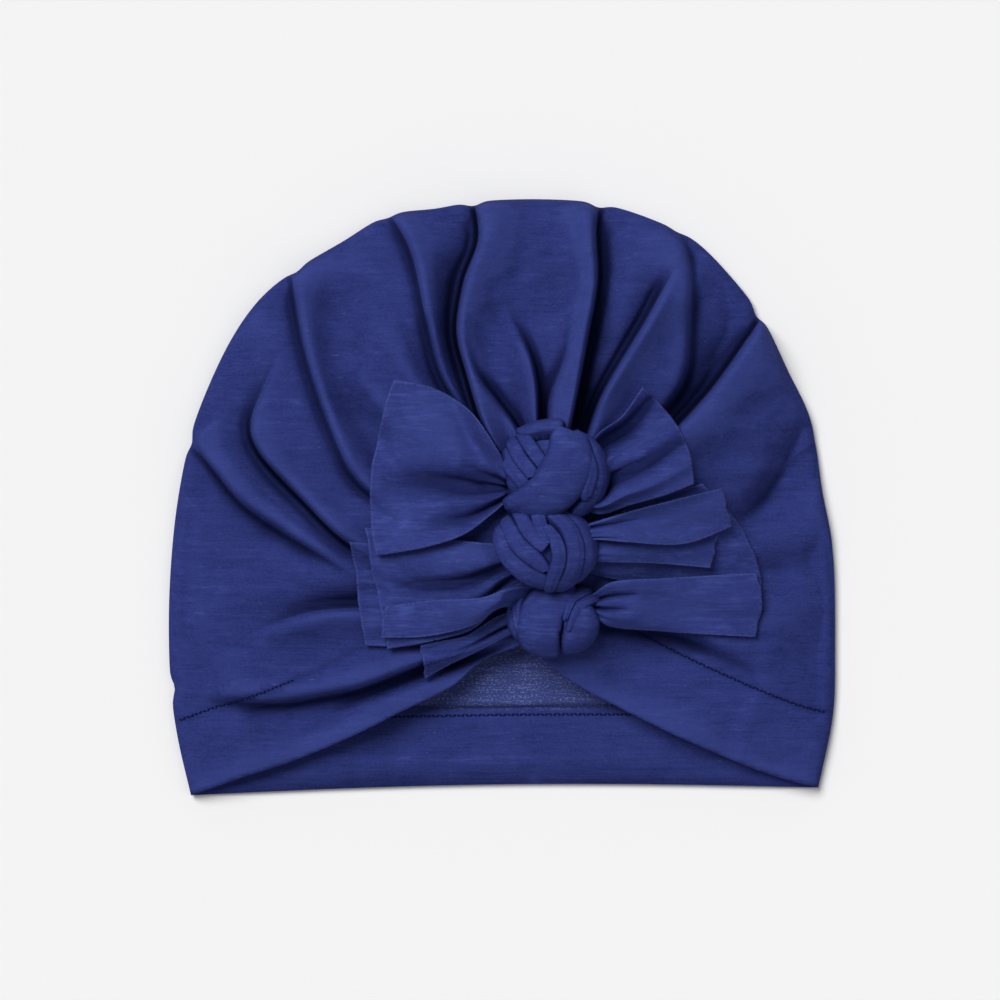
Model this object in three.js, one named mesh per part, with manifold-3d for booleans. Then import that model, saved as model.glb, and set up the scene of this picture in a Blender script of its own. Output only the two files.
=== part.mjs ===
import * as THREE from 'three';
import { mergeVertices } from 'three/addons/utils/BufferGeometryUtils.js';
import Module from 'manifold-3d';

const wasm = await Module();
wasm.setup();

// A small child's turban cap of knit jersey, laid flat on its back. X runs across, Y from the hem
// to the top and Z up from the surface that it lies on. Sizes are in millimetres.
const crownWidth = 200;
const crownHeight = 179;
const crownLoft = 21;
const archLoft = 9;
const edgeThickness = 4;
const clothWall = 1.2;
const hemDepth = 22.5;
const hemTurn = 0.8;
const foldDepth = 6;
const foldSpread = 9;
const creaseWidth = 4.5;
const tailWall = 1.1;
const tailLift = 4;
const pleatDepth = 2.4;
const layerGap = 0.4;
const knotTopWidth = 29;
const knotTopHeight = 24;
const knotTopDepth = 19;
const knotMiddleWidth = 29;
const knotMiddleHeight = 23;
const knotMiddleDepth = 19;
const knotBottomWidth = 27;
const knotBottomHeight = 18;
const knotBottomDepth = 15;

// Counts of facets
const crownColumns = 96;
const crownRows = 10;
const backRows = 3;
const tailColumns = 7;
const tailRows = 8;

// Places on the cap are shares of its width, from the left, and of its height, from the hem
function place(across, up) {
  return new THREE.Vector3((across - 0.5) * crownWidth, (up - 0.5) * crownHeight, 0);
}

function curveThrough(shares) {
  const points = shares.map(([across, up]) => place(across, up));
  const curve = new THREE.CatmullRomCurve3(points, false, 'centripetal');
  curve.arcLengthDivisions = 400;
  return curve;
}

function smooth(low, high, value) {
  return THREE.MathUtils.smoothstep(value, low, high);
}

const mix = THREE.MathUtils.lerp;

// The cap's outline, from the left corner of the hem over the top to the right corner
const outline = curveThrough([
  [0.033, 0.0], [0.013, 0.097], [0.003, 0.178], [0.0, 0.317], [0.009, 0.461], [0.025, 0.567],
  [0.04, 0.631], [0.091, 0.76], [0.136, 0.832], [0.186, 0.879], [0.259, 0.928], [0.329, 0.973],
  [0.403, 0.985], [0.46, 0.996], [0.567, 1.0], [0.65, 0.992], [0.726, 0.966], [0.786, 0.933],
  [0.846, 0.867], [0.891, 0.8], [0.93, 0.711], [0.963, 0.631], [0.981, 0.51], [0.996, 0.419],
  [1.0, 0.245], [0.997, 0.136], [0.975, 0.013],
]);

// The front hem rises from both corners to an arch under the lowest knot
const hemLeft = curveThrough([
  [0.533, 0.256], [0.467, 0.225], [0.427, 0.186], [0.347, 0.141], [0.268, 0.097], [0.187, 0.059],
  [0.108, 0.03], [0.033, 0.0],
]);
const hemRight = curveThrough([
  [0.533, 0.256], [0.599, 0.196], [0.666, 0.154], [0.778, 0.093], [0.904, 0.035], [0.975, 0.013],
]);

// The folds gather on the line that runs under the three knots
const gatherLow = place(0.533, 0.256);
const gatherHigh = place(0.569, 0.529);
const backBow = 0.012;

// Folds of the front, each from its outer end in towards the knots. Clock is the side that lies
// clockwise round the knots, counter the other one. Rises are shares of foldDepth, spreads of
// foldSpread, creases of creaseWidth, grow and fade of the fold's own length.
const folds = [
  { name: 'cheek', clock: 0.55, counter: -0.5, clockSpread: 1.5, counterSpread: 1.3, crease: 1, grow: 0.02,
    fade: 0.35, path: [[0.028, 0.594], [0.064, 0.549], [0.112, 0.487], [0.201, 0.421], [0.3, 0.36]] },
  { name: 'temple', clock: 0.5, counter: -0.75, clockSpread: 0.9, counterSpread: 1.1, crease: 1.3, grow: 0.5,
    fade: 0.2, path: [[0.18, 0.767], [0.147, 0.696], [0.123, 0.621], [0.133, 0.58], [0.208, 0.487],
      [0.268, 0.424], [0.36, 0.37]] },
  { name: 'left_ridge', clock: 0.6, counter: -0.35, clockSpread: 1, counterSpread: 1.1, crease: 1.2, grow: 0,
    fade: 0.3, path: [[0.18, 0.9], [0.187, 0.846], [0.204, 0.747], [0.241, 0.621], [0.29, 0.518],
      [0.4, 0.45]] },
  { name: 'left_hollow', clock: -0.5, counter: -0.5, clockSpread: 1.1, counterSpread: 0.9, crease: 1, grow: 0.2,
    fade: 0.3, path: [[0.25, 0.9], [0.253, 0.836], [0.244, 0.765], [0.268, 0.658], [0.33, 0.56],
      [0.42, 0.5]] },
  { name: 'left_pleat', clock: 0.3, counter: 0.3, clockSpread: 0.7, counterSpread: 0.7, crease: 1, grow: 0.4,
    fade: 0.4, path: [[0.255, 0.77], [0.268, 0.73], [0.326, 0.649], [0.4, 0.58]] },
  { name: 'crown_left', clock: 0.6, counter: -0.3, clockSpread: 1.1, counterSpread: 1.4, crease: 1.3, grow: 0,
    fade: 0.2, path: [[0.322, 0.99], [0.361, 0.913], [0.385, 0.8], [0.412, 0.693], [0.475, 0.596],
      [0.53, 0.53]] },
  { name: 'panel_left', clock: 0.9, counter: -0.85, clockSpread: 1.3, counterSpread: 0.9, crease: 0.8, grow: 0,
    fade: 0.1, path: [[0.455, 1.01], [0.463, 0.93], [0.442, 0.862], [0.431, 0.775], [0.445, 0.708],
      [0.484, 0.586], [0.54, 0.52]] },
  { name: 'panel_pleat', clock: -0.35, counter: 0.45, clockSpread: 0.8, counterSpread: 0.7, crease: 1, grow: 0.5,
    fade: 0.1, path: [[0.44, 0.78], [0.467, 0.698], [0.496, 0.658], [0.527, 0.609], [0.56, 0.53]] },
  { name: 'panel_middle', clock: -0.35, counter: 0.4, clockSpread: 0.7, counterSpread: 0.7, crease: 1, grow: 0.4,
    fade: 0.1, path: [[0.5, 0.83], [0.542, 0.738], [0.553, 0.69], [0.557, 0.616], [0.57, 0.53]] },
  { name: 'panel_right', clock: -0.9, counter: 0.75, clockSpread: 1, counterSpread: 1.2, crease: 0.9, grow: 0,
    fade: 0.1, path: [[0.648, 1.0], [0.642, 0.945], [0.644, 0.862], [0.629, 0.763], [0.606, 0.631],
      [0.59, 0.54]] },
  { name: 'right_roll', clock: 0.7, counter: -0.55, clockSpread: 0.8, counterSpread: 1, crease: 1, grow: 0.2,
    fade: 0.1, path: [[0.762, 0.89], [0.738, 0.846], [0.711, 0.792], [0.644, 0.663], [0.61, 0.55]] },
  { name: 'right_hollow', clock: -0.4, counter: 0.2, clockSpread: 1.6, counterSpread: 1, crease: 2, grow: 0,
    fade: 0.35, path: [[0.765, 0.95], [0.78, 0.9], [0.783, 0.792], [0.77, 0.685], [0.68, 0.58]] },
  { name: 'right_shoulder', clock: 0.85, counter: -0.75, clockSpread: 1.8, counterSpread: 1.4, crease: 0.9,
    grow: 0, fade: 0.2, path: [[0.9, 0.82], [0.865, 0.765], [0.799, 0.666], [0.72, 0.58], [0.62, 0.52]] },
  { name: 'ear', clock: -0.3, counter: -0.3, clockSpread: 1.3, counterSpread: 0.9, crease: 1, grow: 0.05,
    fade: 0.5, path: [[0.98, 0.6], [0.939, 0.567], [0.879, 0.487], [0.8, 0.43]] },
  { name: 'cheek_right', clock: -0.2, counter: -0.2, clockSpread: 1.4, counterSpread: 1, crease: 1, grow: 0.1,
    fade: 0.6, path: [[1.0, 0.41], [0.889, 0.383], [0.78, 0.37]] },
  { name: 'hem_right', clock: -0.35, counter: 0.2, clockSpread: 1.1, counterSpread: 1.2, crease: 1.5, grow: 0.4,
    fade: 0.1, path: [[0.93, 0.2], [0.864, 0.218], [0.786, 0.26], [0.7, 0.285], [0.58, 0.3]] },
  { name: 'cheek_left', clock: -0.35, counter: 0.25, clockSpread: 1.3, counterSpread: 1.3, crease: 1.5,
    grow: 0.35, fade: 0.2, path: [[0.09, 0.235], [0.124, 0.272], [0.208, 0.309], [0.3, 0.318], [0.45, 0.31]] },
  { name: 'hem_left', clock: 0.7, counter: -0.75, clockSpread: 1.4, counterSpread: 1.2, crease: 0.9, grow: 0.1,
    fade: 0.1, path: [[0.0, 0.178], [0.06, 0.164], [0.168, 0.154], [0.268, 0.173], [0.392, 0.223],
      [0.53, 0.265]] },
];

// A fold's route as short straight pieces, each with the share of the route where it starts
const routeSteps = 24;
const foldRoutes = folds.map((fold) => curveThrough(fold.path).getSpacedPoints(routeSteps));

// The nearest point of a route: its signed distance, above nought on the clock side, and its share
function nearestOnRoute(route, x, y) {
  let best = { distance: Infinity, share: 0, side: 1 };
  for (let step = 0; step < route.length - 1; step += 1) {
    const start = route[step];
    const alongX = route[step + 1].x - start.x;
    const alongY = route[step + 1].y - start.y;
    const awayX = x - start.x;
    const awayY = y - start.y;
    const ratio = (awayX * alongX + awayY * alongY) / (alongX * alongX + alongY * alongY);
    const held = Math.min(1, Math.max(0, ratio));
    const distance = Math.hypot(awayX - held * alongX, awayY - held * alongY);
    if (distance < best.distance) {
      const side = Math.sign(alongX * awayY - alongY * awayX) || 1;
      best = { distance, share: (step + held) / (route.length - 1), side };
    }
  }
  return best;
}

// Height that the folds add at a place. They draw together towards the knots.
const gatherShrink = 0.55;
const leastFade = 0.3;
function foldHeight(x, y) {
  let height = 0;
  folds.forEach((fold, index) => {
    const near = nearestOnRoute(foldRoutes[index], x, y);
    const shrink = 1 - gatherShrink * near.share;
    const reach = foldSpread * shrink;
    const onClock = fold.clock * Math.exp(-((near.distance / (fold.clockSpread * reach)) ** 2));
    const onCounter = fold.counter * Math.exp(-((near.distance / (fold.counterSpread * reach)) ** 2));
    const crease = fold.crease * creaseWidth * shrink;
    const turn = smooth(-crease, crease, near.side * near.distance);
    const grown = fold.grow > 0 ? smooth(0, fold.grow, near.share) : 1;
    const faded = 1 - smooth(1 - Math.max(fold.fade, leastFade), 1, near.share);
    height += foldDepth * mix(onCounter, onClock, turn) * grown * faded;
  });
  return height;
}

// Triangles are gathered as loose corners and welded at the end
function addTriangle(corners, a, b, c) {
  const flat = a.distanceTo(b) < 1e-3 || b.distanceTo(c) < 1e-3 || c.distanceTo(a) < 1e-3;
  if (!flat) corners.push(a, b, c);
}

function addGrid(corners, grid, flip) {
  for (let row = 0; row < grid.length - 1; row += 1) {
    for (let column = 0; column < grid[row].length - 1; column += 1) {
      const a = grid[row][column];
      const b = grid[row][column + 1];
      const c = grid[row + 1][column + 1];
      const d = grid[row + 1][column];
      if (flip) {
        addTriangle(corners, a, c, b);
        addTriangle(corners, a, d, c);
      } else {
        addTriangle(corners, a, b, c);
        addTriangle(corners, a, c, d);
      }
    }
  }
}

function weld(corners) {
  const geometry = new THREE.BufferGeometry().setFromPoints(corners);
  return mergeVertices(geometry, 1e-3);
}

// A map of how high everything laid so far reaches, in square cells
const cell = 1;
const mapMargin = 10;
const mapColumns = Math.ceil((crownWidth + 2 * mapMargin) / cell);
const mapRows = Math.ceil((crownHeight + 2 * mapMargin) / cell);
const heights = new Float32Array(mapColumns * mapRows);

function cellsUnder(a, b, c, visit) {
  const toColumn = (x) => (x + crownWidth / 2 + mapMargin) / cell;
  const toRow = (y) => (y + crownHeight / 2 + mapMargin) / cell;
  const area = (b.x - a.x) * (c.y - a.y) - (c.x - a.x) * (b.y - a.y);
  if (Math.abs(area) < 1e-6) return;
  const firstColumn = Math.max(0, Math.floor(toColumn(Math.min(a.x, b.x, c.x))));
  const lastColumn = Math.min(mapColumns - 1, Math.ceil(toColumn(Math.max(a.x, b.x, c.x))));
  const firstRow = Math.max(0, Math.floor(toRow(Math.min(a.y, b.y, c.y))));
  const lastRow = Math.min(mapRows - 1, Math.ceil(toRow(Math.max(a.y, b.y, c.y))));
  for (let row = firstRow; row <= lastRow; row += 1) {
    for (let column = firstColumn; column <= lastColumn; column += 1) {
      const x = column * cell - crownWidth / 2 - mapMargin;
      const y = row * cell - crownHeight / 2 - mapMargin;
      const shareB = ((x - a.x) * (c.y - a.y) - (c.x - a.x) * (y - a.y)) / area;
      const shareC = ((b.x - a.x) * (y - a.y) - (x - a.x) * (b.y - a.y)) / area;
      const inside = shareB >= -0.02 && shareC >= -0.02 && shareB + shareC <= 1.02;
      if (inside) visit(row * mapColumns + column, a.z + shareB * (b.z - a.z) + shareC * (c.z - a.z));
    }
  }
}

function addToMap(corners) {
  for (let index = 0; index < corners.length; index += 3) {
    cellsUnder(corners[index], corners[index + 1], corners[index + 2], (at, z) => {
      heights[at] = Math.max(heights[at], z);
    });
  }
}

function heightAt(x, y, reach) {
  const middleColumn = Math.round((x + crownWidth / 2 + mapMargin) / cell);
  const middleRow = Math.round((y + crownHeight / 2 + mapMargin) / cell);
  const span = Math.round(reach / cell);
  let highest = 0;
  for (let row = middleRow - span; row <= middleRow + span; row += 1) {
    for (let column = middleColumn - span; column <= middleColumn + span; column += 1) {
      const onMap = row >= 0 && column >= 0 && row < mapRows && column < mapColumns;
      if (onMap) highest = Math.max(highest, heights[row * mapColumns + column]);
    }
  }
  return highest;
}

// The highest of a cell and the eight round it
function highestRound(at) {
  let highest = 0;
  for (const down of [-mapColumns, 0, mapColumns]) {
    for (const side of [-1, 0, 1]) {
      highest = Math.max(highest, heights[at + down + side] || 0);
    }
  }
  return highest;
}

// A wall's height where it slopes, so that it keeps its thickness across the slope
const steepest = 2;
function wallUpright(grid, row, column, wall) {
  const left = grid[row][Math.max(0, column - 1)];
  const right = grid[row][Math.min(grid[row].length - 1, column + 1)];
  const below = grid[Math.max(0, row - 1)][column];
  const above = grid[Math.min(grid.length - 1, row + 1)][column];
  const slope = (a, b) => Math.abs(b.z - a.z) / Math.max(0.5, Math.hypot(b.x - a.x, b.y - a.y));
  return wall * Math.min(steepest, Math.hypot(1, slope(left, right), slope(below, above)));
}

function makeCrown() {
  const middle = place(0.52, 0.36);
  const hemReach = 0.2;
  const inward = (point, distance) => {
    const step = middle.clone().sub(point).setZ(0);
    return point.clone().addScaledVector(step.normalize(), distance);
  };
  const rim = (share, inset) => inward(outline.getPointAt(share), inset);
  const gather = (share) => gatherLow.clone().lerp(gatherHigh, 2 * Math.min(share, 1 - share));
  const onFront = (share, out, inset) => {
    const point = gather(share).lerp(rim(share, inset), out);
    const atHem = share < 0.5 ? 0 : 1;
    const nearHem = Math.max(0, 1 - Math.abs(share - atHem) / hemReach) ** 2;
    const hem = atHem === 0 ? hemLeft : hemRight;
    const straight = gather(atHem).lerp(rim(atHem, 0), out);
    return point.addScaledVector(hem.getPointAt(out).sub(straight), nearHem);
  };
  const edgeMiddle = edgeThickness / 2;

  // Front, from the gathering line out to the edge
  const frontOut = [];
  const frontIn = [];
  for (let row = 0; row <= crownRows; row += 1) {
    const out = Math.sin((Math.PI / 2) * (row / crownRows));
    const outerRow = [];
    for (let column = 0; column <= crownColumns; column += 1) {
      const share = column / crownColumns;
      const point = onFront(share, out, 0);
      const loft = mix(archLoft, crownLoft, smooth(0, 0.3, Math.min(share, 1 - share)));
      const dome = row === crownRows ? 0 : Math.sqrt(1 - out ** 2.4);
      const low = edgeMiddle + 1.5 * clothWall + 1;
      const free = edgeMiddle + loft * dome + foldHeight(point.x, point.y) * smooth(0, 0.35, dome);
      const wanted = Math.max(free, mix(edgeMiddle, low, smooth(0, 0.3, dome)));
      point.z = row === crownRows ? edgeMiddle : wanted;
      outerRow.push(point);
    }
    frontOut.push(outerRow);
  }
  const hemPoints = [...hemLeft.getSpacedPoints(40), ...hemRight.getSpacedPoints(40)];
  for (let row = 0; row <= crownRows; row += 1) {
    const out = Math.sin((Math.PI / 2) * (row / crownRows));
    const innerRow = [];
    for (let column = 0; column <= crownColumns; column += 1) {
      const share = column / crownColumns;
      const point = onFront(share, out, clothWall);
      const fromHem = Math.min(...hemPoints.map((hem) => Math.hypot(hem.x - point.x, hem.y - point.y)));
      const turned = hemTurn * (1 - smooth(hemDepth - 1, hemDepth + 1, fromHem));
      const upright = row === 0 ? clothWall : wallUpright(frontOut, row, column, clothWall);
      const wall = upright + turned;
      const floor = clothWall + 0.3 + turned;
      const wanted = Math.max(frontOut[row][column].z - wall, floor);
      point.z = row === crownRows ? edgeMiddle : wanted;
      innerRow.push(point);
    }
    frontIn.push(innerRow);
  }

  // Back, from the edge to the straight hem, flat where it lies
  const corners = [rim(0, 0), rim(1, 0)];
  const bottom = (share) => {
    const point = corners[0].clone().lerp(corners[1], share);
    point.y += crownHeight * backBow * Math.sin(Math.PI * share);
    return point;
  };
  const backOut = [];
  const backIn = [];
  const roll = [0, 0.12, 0.5];
  for (let row = 0; row < roll.length + backRows; row += 1) {
    const outerRow = [];
    const innerRow = [];
    for (let column = 0; column <= crownColumns; column += 1) {
      const share = column / crownColumns;
      const edge = rim(share, 0);
      const edgeIn = rim(share, clothWall);
      const end = bottom(share);
      const length = edge.distanceTo(end);
      const inset = Math.min(0.5 * edgeThickness, 0.3 * length);
      const rolling = row < roll.length;
      const down = rolling
        ? (2 * roll[row] * inset) / Math.max(length, 1e-6)
        : mix((2 * roll[2] * inset) / Math.max(length, 1e-6), 1, (row - roll.length + 1) / backRows);
      const turn = rolling ? 1 - Math.sqrt(1 - (1 - 2 * roll[row]) ** 2) : 0;
      const atCorner = column === 0 || column === crownColumns;
      const outer = edge.clone().lerp(end, atCorner ? 0 : down);
      outer.z = atCorner ? edgeMiddle : edgeMiddle * turn;
      const inner = edgeIn.clone().lerp(atCorner ? edgeIn : end, down);
      const turned = hemTurn * (1 - smooth(hemDepth - 1, hemDepth + 1, Math.abs(inner.y - end.y)));
      const level = clothWall + turned * smooth(0, 2 * edgeThickness, length);
      inner.z = atCorner || row === 0 ? edgeMiddle : Math.max(level, mix(level, edgeMiddle, turn));
      outerRow.push(outer);
      innerRow.push(inner);
    }
    backOut.push(outerRow);
    backIn.push(innerRow);
  }

  const loose = [];
  addGrid(loose, frontOut, false);
  const topSkin = loose.slice();
  addGrid(loose, frontIn, true);
  addGrid(loose, backOut, false);
  addGrid(loose, backIn, true);
  const first = (grid) => grid.map((row) => row[0]);
  const last = (grid) => grid.map((row) => row[row.length - 1]);
  addGrid(loose, [first(frontOut), first(frontIn)], false);
  addGrid(loose, [last(frontOut), last(frontIn)], true);
  addGrid(loose, [backOut[backOut.length - 1], backIn[backIn.length - 1]], false);
  addToMap(topSkin);
  return weld(loose);
}

// The strip ends that fan out from the knots, lowest layer first. A section row gives the upper
// edge, the lower edge and the lift as a share of tailLift, from the knot to the raw end. A pleat
// row gives its place across from the upper edge, its share of pleatDepth and how far out it runs.
const tails = [
  { name: 'tail_left_back', bow: 0, sections: [[0.497, 0.394, 0.5, 0.341, 0.6], [0.42, 0.411, 0.425, 0.27, 0.3],
    [0.347, 0.419, 0.362, 0.253, 0.1], [0.275, 0.426, 0.296, 0.253, 0]], pleats: [[0.5, 0.5, 0.5]] },
  { name: 'tail_left_bottom', bow: 0, sections: [[0.509, 0.317, 0.527, 0.277, 0.6], [0.445, 0.27, 0.457, 0.24, 0.3],
    [0.41, 0.262, 0.42, 0.22, 0.1], [0.379, 0.255, 0.386, 0.198, 0]], pleats: [[0.6, 0.6, 0.6]] },
  { name: 'tail_left_middle', bow: 0, sections: [[0.494, 0.419, 0.501, 0.331, 0.8],
    [0.445, 0.428, 0.46, 0.284, 0.5], [0.37, 0.44, 0.401, 0.263, 0.3], [0.296, 0.45, 0.331, 0.248, 0.1]],
    pleats: [[0.45, 1, 0.7], [0.75, 0.5, 0.5]] },
  { name: 'tail_left_fold', bow: 0, sections: [[0.535, 0.36, 0.497, 0.325, 0.9], [0.47, 0.335, 0.46, 0.29, 0.4],
    [0.4, 0.33, 0.39, 0.27, 0.2], [0.327, 0.319, 0.32, 0.267, 0.1]], pleats: [] },
  { name: 'tail_left_top', bow: 0.02, sections: [[0.513, 0.534, 0.515, 0.5, 1.2], [0.493, 0.579, 0.488, 0.475, 1],
    [0.452, 0.643, 0.446, 0.44, 0.8], [0.4, 0.68, 0.392, 0.419, 0.5], [0.341, 0.695, 0.313, 0.403, 0.2]],
    pleats: [[0.35, 0.4, 0.5], [0.62, 1, 0.9], [0.85, 0.6, 0.6]] },
  { name: 'tail_right_back', bow: 0.03, sections: [[0.644, 0.461, 0.644, 0.37, 0.3], [0.7, 0.49, 0.74, 0.35, 0.2],
    [0.796, 0.523, 0.886, 0.319, 0]], pleats: [[0.3, 0.5, 0.6]] },
  { name: 'tail_right_bottom', bow: 0.008, sections: [[0.632, 0.341, 0.635, 0.31, 0.8],
    [0.66, 0.359, 0.657, 0.287, 0.6], [0.744, 0.366, 0.737, 0.277, 0.3], [0.88, 0.374, 0.877, 0.267, 0.1]],
    pleats: [[0.4, 0.7, 0.35]] },
  { name: 'tail_right_lower', bow: 0, sections: [[0.644, 0.435, 0.642, 0.394, 0.7], [0.73, 0.43, 0.722, 0.391, 0.4],
    [0.82, 0.438, 0.81, 0.383, 0.2]], pleats: [] },
  { name: 'tail_right_top', bow: 0.02, sections: [[0.635, 0.545, 0.644, 0.471, 1], [0.638, 0.6, 0.69, 0.487, 0.9],
    [0.677, 0.634, 0.74, 0.503, 0.7], [0.707, 0.681, 0.784, 0.522, 0.5]],
    pleats: [[0.25, 0.8, 0.6], [0.55, -0.7, 0.6], [0.78, 1, 1.2]] },
  { name: 'tail_right_middle', bow: 0, sections: [[0.629, 0.455, 0.642, 0.436, 1], [0.69, 0.477, 0.686, 0.426, 0.7],
    [0.759, 0.497, 0.769, 0.423, 0.5], [0.826, 0.515, 0.841, 0.451, 0.4]], pleats: [[0.55, 0.4, 0.6]] },
];

// A sheet is laid on what is below it, and raised wherever it would pass through that
const layPasses = 6;
const pleatSpread = 0.11;
function makeTail(tail) {
  const upper = curveThrough(tail.sections.map((row) => [row[0], row[1]]));
  const lower = curveThrough(tail.sections.map((row) => [row[2], row[3]]));
  const lifts = tail.sections.map((row) => row[4]);
  const liftAt = (along) => {
    const step = Math.min(lifts.length - 2, Math.floor(along * (lifts.length - 1)));
    return mix(lifts[step], lifts[step + 1], along * (lifts.length - 1) - step);
  };
  const under = [];
  for (let row = 0; row <= tailRows; row += 1) {
    const along = row / tailRows;
    const outward = upper.getTangentAt(along).add(lower.getTangentAt(along)).normalize();
    const line = [];
    for (let column = 0; column <= tailColumns; column += 1) {
      const across = column / tailColumns;
      const point = upper.getPointAt(along).lerp(lower.getPointAt(along), across);
      const bow = tail.bow * crownWidth * Math.sin(Math.PI * across) * along ** 2;
      point.addScaledVector(outward, bow);
      let lift = tailLift * liftAt(along) * (0.6 + 0.4 * Math.sin(Math.PI * across));
      tail.pleats.forEach(([at, depth, reach]) => {
        const fade = Math.max(0, 1 - along / reach) ** 0.7;
        lift -= pleatDepth * depth * fade * Math.exp(-(((across - at) / pleatSpread) ** 2));
      });
      point.z = heightAt(point.x, point.y, 1) + layerGap + Math.max(0, lift);
      line.push(point);
    }
    under.push(line);
  }
  const skin = [];
  addGrid(skin, under, false);
  for (let pass = 0; pass < layPasses; pass += 1) {
    for (let index = 0; index < skin.length; index += 3) {
      const facet = [skin[index], skin[index + 1], skin[index + 2]];
      let lack = 0;
      cellsUnder(...facet, (at, z) => {
        lack = Math.max(lack, highestRound(at) + layerGap - z);
      });
      facet.forEach((corner) => {
        corner.z += lack;
      });
    }
  }
  const over = under.map((line, row) => line.map((point, column) => {
    const top = point.clone();
    top.z += wallUpright(under, row, column, tailWall);
    return top;
  }));
  const upwards = upper.getPointAt(0.5).sub(lower.getPointAt(0.5)).cross(upper.getTangentAt(0.5)).z > 0;
  const loose = [];
  const topSkin = [];
  addGrid(topSkin, over, upwards);
  loose.push(...topSkin);
  addGrid(loose, under, !upwards);
  const column = (grid, at) => grid.map((line) => line[at]);
  addGrid(loose, [over[0], under[0]], !upwards);
  addGrid(loose, [over[tailRows], under[tailRows]], upwards);
  addGrid(loose, [column(over, 0), column(under, 0)], upwards);
  addGrid(loose, [column(over, tailColumns), column(under, tailColumns)], !upwards);
  addToMap(topSkin);
  return weld(loose);
}

// The knots. Each is a round core with bands wrapped over it. A band row gives its ring's radius,
// width and thickness as shares of the knot's half width, its lean and turn in degrees, and its
// centre's shift across and up as shares of the half sizes.
const knots = [
  { name: 'knot_middle', across: 0.564, up: 0.416, lean: 0, width: knotMiddleWidth, height: knotMiddleHeight,
    depth: knotMiddleDepth, bands: [[0.74, 0.36, 0.27, 80, 62, 0.12, 0.1], [0.74, 0.36, 0.27, 80, -28, -0.1, -0.05],
      [0.7, 0.34, 0.26, 78, 115, 0.1, -0.05]] },
  { name: 'knot_top', across: 0.58, up: 0.528, lean: 35, width: knotTopWidth, height: knotTopHeight,
    depth: knotTopDepth, bands: [[0.76, 0.5, 0.24, 82, 50, 0, 0], [0.7, 0.3, 0.26, 75, 48, 0.3, 0],
      [0.62, 0.34, 0.26, 78, 120, -0.25, 0.2]] },
  { name: 'knot_bottom', across: 0.58, up: 0.3, lean: -10, width: knotBottomWidth, height: knotBottomHeight,
    depth: knotBottomDepth, bands: [[0.74, 0.55, 0.26, 80, 80, -0.15, 0], [0.66, 0.34, 0.26, 75, 105, 0.35, -0.05]] },
];

function toSolid(geometry) {
  const bare = geometry.clone();
  bare.deleteAttribute('normal');
  bare.deleteAttribute('uv');
  const merged = mergeVertices(bare, 1e-4);
  const vertProperties = new Float32Array(merged.attributes.position.array);
  const triVerts = new Uint32Array(merged.index.array);
  return new wasm.Manifold(new wasm.Mesh({ numProp: 3, vertProperties, triVerts }));
}

function toGeometry(solid) {
  const mesh = solid.getMesh();
  const geometry = new THREE.BufferGeometry();
  geometry.setAttribute('position', new THREE.BufferAttribute(new Float32Array(mesh.vertProperties), 3));
  geometry.setIndex(new THREE.BufferAttribute(new Uint32Array(mesh.triVerts), 1));
  return geometry;
}

const degree = Math.PI / 180;
const sinkShare = 0.2;
function knotShape(knot, centre) {
  const stretch = new THREE.Matrix4().makeScale(knot.width / 2, knot.height / 2, knot.depth / 2);
  const toPlace = new THREE.Matrix4().makeTranslation(centre.x, centre.y, centre.z);
  toPlace.multiply(new THREE.Matrix4().makeRotationZ(knot.lean * degree)).multiply(stretch);
  let solid = toSolid(new THREE.SphereGeometry(0.84, 16, 10).applyMatrix4(toPlace));
  knot.bands.forEach(([radius, width, thickness, lean, turn, shiftX, shiftY]) => {
    const ring = new THREE.TorusGeometry(radius, thickness, 7, 16);
    ring.scale(1, 1, width / thickness);
    const tilt = new THREE.Matrix4().makeRotationX(lean * degree);
    const spin = new THREE.Matrix4().makeRotationZ(turn * degree);
    ring.applyMatrix4(tilt).applyMatrix4(spin).translate(shiftX, shiftY, 0);
    solid = solid.add(toSolid(ring.applyMatrix4(toPlace)));
  });
  return solid;
}

// What is laid so far under a knot, as a block that the knot's underside is cut by
const blockStep = 4;
function blockUnder(knot, centre) {
  const reachX = knot.width * 0.8;
  const reachY = knot.width * 0.8;
  const countX = Math.ceil((2 * reachX) / blockStep);
  const countY = Math.ceil((2 * reachY) / blockStep);
  const topGrid = [];
  const lowGrid = [];
  for (let row = 0; row <= countY; row += 1) {
    const topLine = [];
    const lowLine = [];
    for (let column = 0; column <= countX; column += 1) {
      const x = centre.x - reachX + (2 * reachX * column) / countX;
      const y = centre.y - reachY + (2 * reachY * row) / countY;
      topLine.push(new THREE.Vector3(x, y, heightAt(x, y, blockStep) + layerGap));
      lowLine.push(new THREE.Vector3(x, y, -knot.depth));
    }
    topGrid.push(topLine);
    lowGrid.push(lowLine);
  }
  const side = (grid, at) => grid.map((line) => line[at]);
  const loose = [];
  addGrid(loose, topGrid, false);
  addGrid(loose, lowGrid, true);
  addGrid(loose, [lowGrid[0], topGrid[0]], false);
  addGrid(loose, [lowGrid[countY], topGrid[countY]], true);
  addGrid(loose, [side(lowGrid, 0), side(topGrid, 0)], true);
  addGrid(loose, [side(lowGrid, countX), side(topGrid, countX)], false);
  return toSolid(weld(loose));
}

// A solid with the gap round it that its neighbours keep
function withGap(solid) {
  const shifts = [[1, 0, 0], [-1, 0, 0], [0, 1, 0], [0, -1, 0], [0, 0, 1], [0, 0, -1]];
  return shifts.reduce((whole, shift) => (
    whole.add(solid.translate(shift.map((step) => step * layerGap)))), solid);
}

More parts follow.
